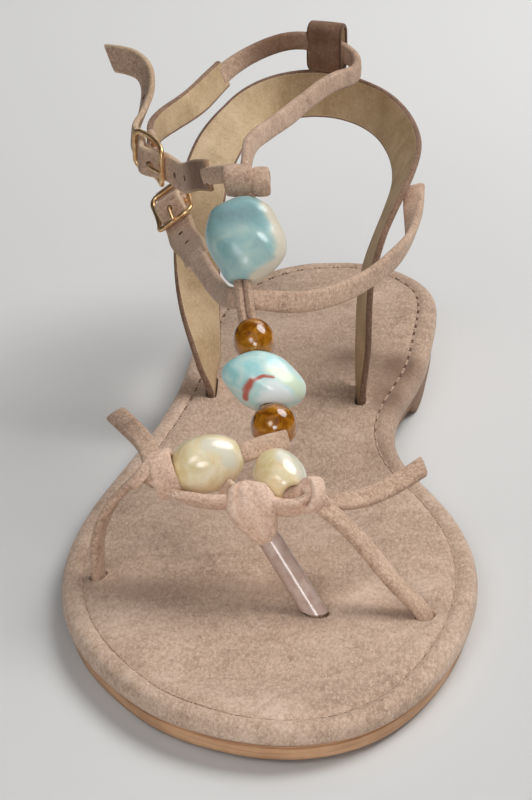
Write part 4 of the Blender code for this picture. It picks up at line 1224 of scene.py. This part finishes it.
def build_footbed():
    """Suede footbed with a puffed rim, a stitched groove, the strap slots and painted shade under the straps.
    """
    points, faces = plate(outline_loop(), raised(footbed_top, FOOTBED_RINGS))
    points[:, 2] += footbed_relief(points)
    # painted shade where the straps and the heel band shade the footbed
    painted_shade = np.clip(bumps(points[:, 0], points[:, 1], FOOTBED_PAINTED_SHADING), 0.0, 1.0)
    made = mesh_object("footbed_suede", place(points, 0.0), faces, None, {"painted_shade": painted_shade})
    for slot in SLOTS:
        cut(made, slot_cutter(*slot))
    dress(made, "footbed", (FOOTBED_SUEDE, CUT_EDGE))


def capsules(starts, ends, radii):
    """Points and faces of many short threads, one from each start to each end."""
    turn = full_turn(CAPSULE_SEGMENTS)
    pattern = tube_faces(len(CAPSULE_SHAPE), len(turn))
    points, faces = [], []
    for first, last, radius in zip(starts, ends, radii):
        along = unit(last - first)
        side = unit(np.cross(along, UPRIGHT))
        ring = circle(turn, side, np.cross(side, along)) * radius
        offset = len(points) * len(turn)
        faces += [tuple(offset + i for i in face) for face in pattern]
        points += [first + (last - first) * share + ring * size for share, size in CAPSULE_SHAPE]
    return np.concatenate(points), faces


def build_footbed_seam():
    """Row of stitches in the footbed's groove, with the painted shade of a pricked hole at each end of a
    stitch.
    """
    loop = outline_loop()
    line = loop + inward_of(loop) * GROOVE_INSET
    line = np.concatenate([line, line[:1]])
    knots = chord_lengths(line)
    count = round(knots[-1] / STITCH_PITCH)
    middles = (np.arange(count) + 0.5) * knots[-1] / count

    def threads(name, centres, reach, lift, radii, finish):
        rows = []
        for distance in (centres - reach, centres + reach):
            x, y = (np.interp(distance, knots, column) for column in line.T)
            level = footbed_top(y) - GROOVE_DEPTH + bumps(x, y, FOOTBED_WAVES) + lift
            rows.append(np.column_stack([x, y, level]))
        points, faces = capsules(*rows, radii(rows[0][:, 1]))
        dress(mesh_object(name, place(points, 0.0), faces), "footbed", (finish,))

    def prick_radius(y):
        return STITCH_HOLE_RADIUS * (1 + HEEL_HOLE_GROWTH * (1 - rise(y, BREAST_Y, ARCH_FRONT_Y)))

    def stitch_radius(y):
        return np.full_like(y, STITCH_RADIUS)

    threads("footbed_stitches", middles, STITCH_LENGTH / 2, STITCH_LIFT, stitch_radius, THREAD)
    apart = (STITCH_LENGTH + PRICK_SPACE) / 2
    pricks = np.concatenate([middles - apart, middles + apart])
    # pricked holes as dark threads of painted shade
    threads("footbed_seam_holes", pricks, PRICK_REACH, PRICK_LIFT, prick_radius, HOLE_SHADE)


def hole_cutter(rows, distance):
    """Short cylinder square to a strap's face."""
    path, tangent, across, off_face, _ = frames(rows, np.array([distance]))
    ring = path + circle(full_turn(HOLE_SEGMENTS), tangent[0], across[0]) * HOLE_RADIUS
    reach = off_face * HOLE_REACH * TONGUE_THICKNESS
    faces = tube_faces(2, HOLE_SEGMENTS)
    points = np.concatenate([ring - reach, ring + reach])
    return mesh_object("strap_hole", place(points), faces, [HOLE_GROUP] * len(faces))


def buckle_frame(name):
    """Centre, direction along the strap, direction across it and direction off its face."""
    centre, along, off_face = BUCKLES[name]
    along = unit(along)
    off_face = square_to(off_face, along)
    return np.array(centre), along, np.cross(along, off_face), off_face


def at_buckle(name, along_mm, off_mm, across_mm=0.0):
    """Point at distances along the strap, off its face and across it from a buckle's centre."""
    centre, along, across, off_face = buckle_frame(name)
    return centre + along * along_mm + across * across_mm + off_face * off_mm


def woven_rows(name, table, width):
    """Strap rows at a buckle from a table of distance along and off its face."""
    across = buckle_frame(name)[2]
    return [(*at_buckle(name, along_mm, off_mm), *across, width) for along_mm, off_mm in table]


def holed_strap(name, node, buckle, before, after=(), cuts=SQUARE_ENDS):
    """Lined strap woven through a buckle, with its row of punched holes."""
    rows = [*before, *woven_rows(buckle, WEAVE, TONGUE_WIDTH), *after]
    made = strap(name, rows, TONGUE_THICKNESS, node, None, cuts, HOLED_CROWN)
    middle = chord_lengths(np.asarray(rows, float)[:, :3])[len(before) + WEAVE_MIDDLE]
    for distance in (PRONG_HOLE, *STRAP_HOLES[buckle]):
        cut(made, hole_cutter(rows, middle + distance))
    # the hole walls take painted shade
    dress(made, node, (*LINED_TURNED, HOLE_SHADE))


def buckle_tab(buckle, node, rows):
    """Strap end that folds round the buckle's centre bar, parted for the prong."""
    width = rows[-1][6]
    strap(buckle + "_tab", [*rows, *woven_rows(buckle, TAB_WEAVE, width)], TONGUE_THICKNESS, node, LINED)
    outer_rows = woven_rows(buckle, TAB_WEAVE, width + TAB_END_GROWTH)
    strap(buckle + "_tab_end", outer_rows, TONGUE_THICKNESS + TAB_END_GROWTH, node, PLAIN)
    _, along, across, _ = buckle_frame(buckle)
    wall = TAB_RING_OUTER - TAB_RING_INNER
    radii = [(TAB_RING_OUTER + TAB_RING_INNER) / 2] * 2
    for label, side in (("left", -1), ("right", 1)):
        hub = at_buckle(buckle, 0.0, -BUCKLE_ARCH, side * TAB_RING_OFFSET)
        ring_band(f"{buckle}_tab_fold_{label}", node, hub, across, along, radii, TAB_RING_WIDTH, wall, PLAIN)


def wire_section(count):
    """Reach and height of a buckle's round wire, with a shallow groove along the face that shows."""
    turn = full_turn(WIRE_SEGMENTS)
    groove = WIRE_GROOVE * np.exp(-((turn - math.pi / 2) / WIRE_GROOVE_SPREAD) ** 2)
    size = BUCKLE_WIRE / 2 * (1 - groove)
    return np.tile(size * np.cos(turn), (count, 1)), np.tile(size * np.sin(turn), (count, 1))


def build_buckle(name):
    """Arched wire frame with a grooved face, its centre bar and the prong."""
    centre, along, across, off_face = buckle_frame(name)
    node = name + "_buckle_frame"
    half_length, half_width = BUCKLE_LENGTH / 2, BUCKLE_WIDTH / 2
    flat = []
    for quarter, (sign_x, sign_y) in enumerate(((1, 1), (-1, 1), (-1, -1), (1, -1))):
        for angle in np.linspace(0.0, math.pi / 2, ARC_STEPS) + math.pi / 2 * quarter:
            flat.append((sign_x * (half_length - BUCKLE_CORNER) + BUCKLE_CORNER * math.cos(angle),
                         sign_y * (half_width - BUCKLE_CORNER) + BUCKLE_CORNER * math.sin(angle)))
    flat = np.array(flat + flat[:1])
    knots = chord_lengths(flat)
    reads = np.linspace(0.0, knots[-1], WIRE_STATIONS, endpoint=False)
    along_mm, across_mm = (np.interp(reads, knots, column) for column in flat.T)
    arch = -BUCKLE_ARCH * (1 - (along_mm / half_length) ** 2)
    path = centre + np.outer(along_mm, along) + np.outer(across_mm, across) + np.outer(arch, off_face)
    tangent = loop_tangent(path)
    normal = square_to(off_face, tangent)
    made = loft(name + "_frame_wire", path, np.cross(tangent, normal), normal, *wire_section(len(path)), True)
    dress(made, node, (GOLD,))
    ends = [at_buckle(name, 0.0, -BUCKLE_ARCH, side * half_width) for side in (-1, 0, 1)]
    rounded(name + "_bar", ends, BAR_DIAMETER, node, (GOLD,), off_face)
    prong = [at_buckle(name, *spot) for spot in PRONG_PATH]
    rounded(name + "_prong_pin", prong, PRONG_DIAMETER, name + "_buckle_prong", (GOLD,), across,
            PRONG_TAPER)


def build_heel_band():
    """Lined band from slot to slot, with the folded loop of the ankle strap and the lower buckle's tab."""
    strap("heel_band_suede", HEEL_BAND, BAND_THICKNESS, "heel_band", LINED, crown=BAND_CROWN)
    radius = (HEEL_LOOP_DEPTH - HEEL_LOOP_WALL) / 2
    straight = (HEEL_LOOP_HEIGHT - HEEL_LOOP_DEPTH) / 2
    forward = np.array((math.sin(HEEL_LOOP_TURN), math.cos(HEEL_LOOP_TURN), 0.0))
    over = circle(np.linspace(0.0, math.pi, HEEL_LOOP_STEPS), forward, UPRIGHT)
    outward = np.concatenate([over, -over])
    lift = np.repeat((straight, -straight), HEEL_LOOP_STEPS)
    path = np.array(HEEL_LOOP_CENTRE) + outward * radius + np.outer(lift, UPRIGHT)
    half_width = np.full((len(path), 1), HEEL_LOOP_WIDTH / 2)
    reach, height, sides = strap_section(half_width, np.full_like(half_width, HEEL_LOOP_WALL / 2), CORD_CROWN)
    across = np.tile(np.cross(forward, UPRIGHT), (len(path), 1))
    # painted shade over the whole loop
    values = {"edge": np.abs(reach) / half_width, "painted_shade": np.full(reach.size, HEEL_LOOP_PAINTED_SHADE)}
    made = loft("heel_loop_suede", path, across, outward, reach, height, True, 0.0, sides, values)
    dress(made, "heel_band", LINED)
    buckle_tab("lower", "heel_band", TAB_START)


def build_ankle_straps():
    """Ankle cord through the heel loop with its lined end, and the holed tongue with its curled end."""
    strap("ankle_cord", ANKLE_CORD, CORD_THICKNESS, "ankle_strap", PLAIN)
    buckle_tab("upper", "ankle_strap", ANKLE_WIDE)
    strap("tongue_cord", TONGUE_CORD, CORD_THICKNESS, "ankle_tongue", PLAIN)
    holed_strap("tongue_holed", "ankle_tongue", "upper", TONGUE_FRONT, TONGUE_END, TONGUE_ENDS)


def build_instep():
    """Bead cord of two strands, its branches, the cross strap and its holed end."""
    for label, side in (("left", 1), ("right", -1)):
        strand = np.array(INSTEP_CORD) + (side * STRAND_WIDTH / 2, 0.0, 0.0)
        rows = [(*point, *SIDEWAYS, STRAND_WIDTH) for point in strand]
        strap("bead_cord_" + label, rows, STRAND_THICKNESS, "instep_strap", PLAIN)
    for name, branch in (("outer_branch_flat", OUTER_BRANCH), ("inner_branch_flat", INNER_BRANCH)):
        across = np.cross(TO_CAMERA, unit(np.gradient(np.array(branch), axis=0)))
        rows = [(*point, *direction, BRANCH_WIDTH) for point, direction in zip(branch, across)]
        strap(name, rows, BRANCH_THICKNESS, "instep_strap", PLAIN)
    strap("cross_strap_inner", CROSS_INNER, CORD_THICKNESS, "instep_strap", PLAIN)
    strap("cross_strap_cord", CROSS_CORD, CORD_THICKNESS, "instep_strap", PLAIN)
    holed_strap("cross_strap_holed", "instep_strap", "lower", CROSS_WIDE)


def build_thong():
    """Toe post, folded wrap, arms, side straps and tails."""
    rounded("toe_post_cord", TOE_POST, POST_DIAMETER, "thong_strap", (SUEDE,))
    # the toe wrap and the thong's arms take the paler suede, painted light
    pillow("toe_wrap_fold", TOE_WRAP, "thong_strap", (PAINTED_LIT_SUEDE,))
    strap("toe_wrap_end", WRAP_END, BAND_THICKNESS, "thong_strap", (SUEDE, CUT_EDGE, SUEDE))
    strap("thong_arm_cord", THONG_ARMS, CORD_THICKNESS, "thong_strap", PAINTED_LIT)
    strap("side_strap_outer", SIDE_OUTER, CORD_THICKNESS, "thong_strap", PLAIN)
    strap("side_strap_inner", SIDE_INNER, CORD_THICKNESS, "thong_strap", PLAIN)
    strap("tail_cord_outer", TAIL_OUTER, CORD_THICKNESS, "thong_strap", PLAIN, TAIL_ENDS)
    strap("tail_cord_inner", TAIL_INNER, CORD_THICKNESS, "thong_strap", PLAIN, TAIL_ENDS)


def build_knots():
    """Flat wraps round a hidden core at each knot."""
    for seed, (name, node, centre, axis, start, radii, width) in enumerate(KNOT_WRAPS):
        # the thong's knots take the paler suede, painted light
        look = PAINTED_LIT if node == "thong_strap" else PLAIN
        ring_band(name, node, centre, axis, start, radii, width, WRAP_WALL, look, seed)
    turn = full_turn(CORE_SEGMENTS)[None]
    lift = np.linspace(-CORE_SHARE, CORE_SHARE, CORE_RINGS)[:, None]
    size = np.sqrt(1 - lift ** 2)
    across, off_face = (np.tile(axis, (CORE_RINGS, 1)) for axis in (SIDEWAYS, FORWARD))
    for name, node, centre, (half_x, half_y, half_z) in KNOT_CORES:
        path = np.asarray(centre) + lift * half_z * UPRIGHT
        reach, height = size * np.cos(turn) * half_x, size * np.sin(turn) * half_y
        dress(loft(name, path, across, off_face, reach, height), node, (SUEDE,))


def build_sleeve():
    """Clear tube over the toe post, cut level where it stands on the footbed."""
    low, high = np.array(TOE_POST[SLEEVE_LOW]), np.array(TOE_POST[SLEEVE_HIGH])
    slope = unit(high - low)
    side = unit(np.cross(slope, UPRIGHT))
    radial = circle(full_turn(SLEEVE_SEGMENTS), side, np.cross(side, slope))
    length = np.linalg.norm(high - low)
    rings = []
    for diameter, first, last in ((SLEEVE_OUTER, 0.0, 1.0), (SLEEVE_INNER, 1.0, 0.0)):
        wall = radial * diameter / 2
        foot = (GAP - low[2] - wall[:, 2]) / slope[2]
        for share in np.linspace(first, last, SLEEVE_RINGS):
            rings.append(low + wall + np.outer(foot + (length - foot) * share, slope))
    faces = grid_faces(len(rings), SLEEVE_SEGMENTS, True)
    made = mesh_object("sleeve_tube", place(np.concatenate(rings)), faces)
    dress(made, "toe_post_sleeve", (SLEEVE_CLEAR,))


def bead(name, centre, axis, length, width, depth, lobes, lobe_depth, look, finish):
    """Smooth bead with a bore, flattened to its width and depth, then dented, leaned and painted."""
    axis = unit(axis)
    side = square_to(UPRIGHT if abs(axis[0]) > SIDEWAYS_SHARE else SIDEWAYS, axis)
    front = np.cross(axis, side)
    half = min(width, depth) / 2
    open_turn = math.asin(((BEAD_BORE + BEAD_LIP) / half) ** (1 / BEAD_FULLNESS))
    open_sine = math.sin(open_turn)
    around = full_turn(BEAD_SEGMENTS)
    points = []
    for turn in np.linspace(open_turn, math.pi - open_turn, BEAD_RINGS):
        sine = math.sin(turn)
        wave = 1 + (sine ** 2 - open_sine ** 2) * lobe_depth * np.cos(lobes * around + BEAD_TWIST * turn)
        share = (sine - open_sine) / (1 - open_sine)
        wide = side * (half + (width / 2 - half) * share)
        deep = front * (half + (depth / 2 - half) * share)
        height = -math.cos(turn) / math.cos(open_turn) * length / 2
        points.append(circle(around, wide, deep) * sine ** BEAD_FULLNESS * wave[:, None] + axis * height)
    for share in (1.0, 0.0, -1.0):
        points.append(circle(around, side, front) * BEAD_BORE + axis * share * length / 2)
    faces = grid_faces(len(points), BEAD_SEGMENTS, True)
    points = np.concatenate(points)
    # right and up on the bead as the camera sees it
    right, up = -points[:, 0], points @ np.array(CAMERA_UP)
    values = bead_paint(look, right, up)
    along = points @ axis
    outward = points - np.outer(along, axis)
    hold = np.clip(1 - (along / length * 2) ** DENT_FADE, 0, 1)
    hold *= np.linalg.norm(outward, axis=1) > BORE_MARGIN * BEAD_BORE
    relief = bumps(right, up, BEAD_DENTS.get(name, ()))
    for path, spread, height in BEAD_RIDGES.get(name, ()):
        relief += height * stroke(right, up, path, spread) * (outward @ TO_CAMERA > 0)
    points = points + unit(outward) * (hold * relief)[:, None]
    points -= np.outer(BEAD_LEAN.get(name, 0.0) * right, axis)
    made = mesh_object(name + "_stone", place(points + centre), faces, None, values)
    dress(made, name, (finish,))


def stroke(right, up, path, width):
    """Soft mark along a line on the bead's face, 1 at its middle."""
    nearest = np.full(len(right), np.inf)
    for first, last in zip(np.array(path), np.array(path[1:])):
        run = last - first
        share = ((right - first[0]) * run[0] + (up - first[1]) * run[1]) / run.dot(run)
        share = np.clip(share, 0.0, 1.0)
        away = np.hypot(right - first[0] - share * run[0], up - first[1] - share * run[1])
        nearest = np.minimum(nearest, away)
    return np.exp(-(nearest / width) ** 2)


def bead_paint(look, right, up):
    """Tone and amount of each painted mark at points of a bead."""
    level, to_right, upwards = look["tone"]
    values = {"tone": level + to_right * right + upwards * up}
    for key, (_, strokes) in look["marks"].items():
        amounts = [amount * stroke(right, up, path, width) for amount, width, path in strokes]
        values[key] = np.max(amounts, axis=0)
    return values


def build_beads():
    """Every bead, with one finish for each kind."""
    finishes = {kind: stone_material(look) for kind, look in BEAD_LOOKS.items()}
    for name, *shape in BEADS:
        kind = name.split("_")[1]
        bead(name, *shape, BEAD_LOOKS[kind], finishes[kind])


def aim(made, target, up):
    """Turn a camera or light so that it looks at the target."""
    back = (made.location - Vector(target)).normalized()
    right = Vector(up).cross(back).normalized()
    made.rotation_euler = Matrix((right, back.cross(right), back)).transposed().to_euler()


def build_stage():
    """Floor, soft lights, grey surroundings and the camera."""
    scene = bpy.context.scene
    reach = FLOOR_SIZE / 2
    corners = [(x * reach, y * reach, -FLOOR_DROP * MM) for x, y in ((-1, -1), (1, -1), (1, 1), (-1, 1))]
    floor = mesh_object("studio_floor", corners, [(0, 1, 2, 3)])
    floor.data.materials.append(floor_material())
    for name, spot, target, sizes, watts, spread, colour in LIGHTS:
        lamp = bpy.data.lights.new(name, "AREA")
        lamp.shape = "ELLIPSE"
        lamp.size, lamp.size_y = sizes
        lamp.energy = watts
        lamp.spread = math.radians(spread)
        lamp.color = colour
        made = bpy.data.objects.new(name, lamp)
        made.location = spot
        aim(made, target, LAMP_UP)
        scene.collection.objects.link(made)
    world = bpy.data.worlds.new("studio")
    world.use_nodes = True
    background = world.node_tree.nodes["Background"]
    background.inputs["Color"].default_value = (WORLD_GREY, WORLD_GREY, WORLD_GREY, 1.0)
    background.inputs["Strength"].default_value = WORLD_STRENGTH
    scene.world = world
    lens = bpy.data.cameras.new("photo_camera")
    lens.sensor_width = CAMERA_SENSOR
    lens.lens = CAMERA_LENS
    camera = bpy.data.objects.new("photo_camera", lens)
    camera.location = CAMERA_PLACE
    aim(camera, CAMERA_TARGET, CAMERA_UP)
    scene.collection.objects.link(camera)
    scene.camera = camera
    scene.view_settings.view_transform = "Standard"


def main():
    build_stage()
    build_outsole()
    build_footbed()
    build_footbed_seam()
    build_heel_band()
    build_ankle_straps()
    build_instep()
    build_thong()
    build_knots()
    build_sleeve()
    build_beads()
    for name in BUCKLES:
        build_buckle(name)


main()
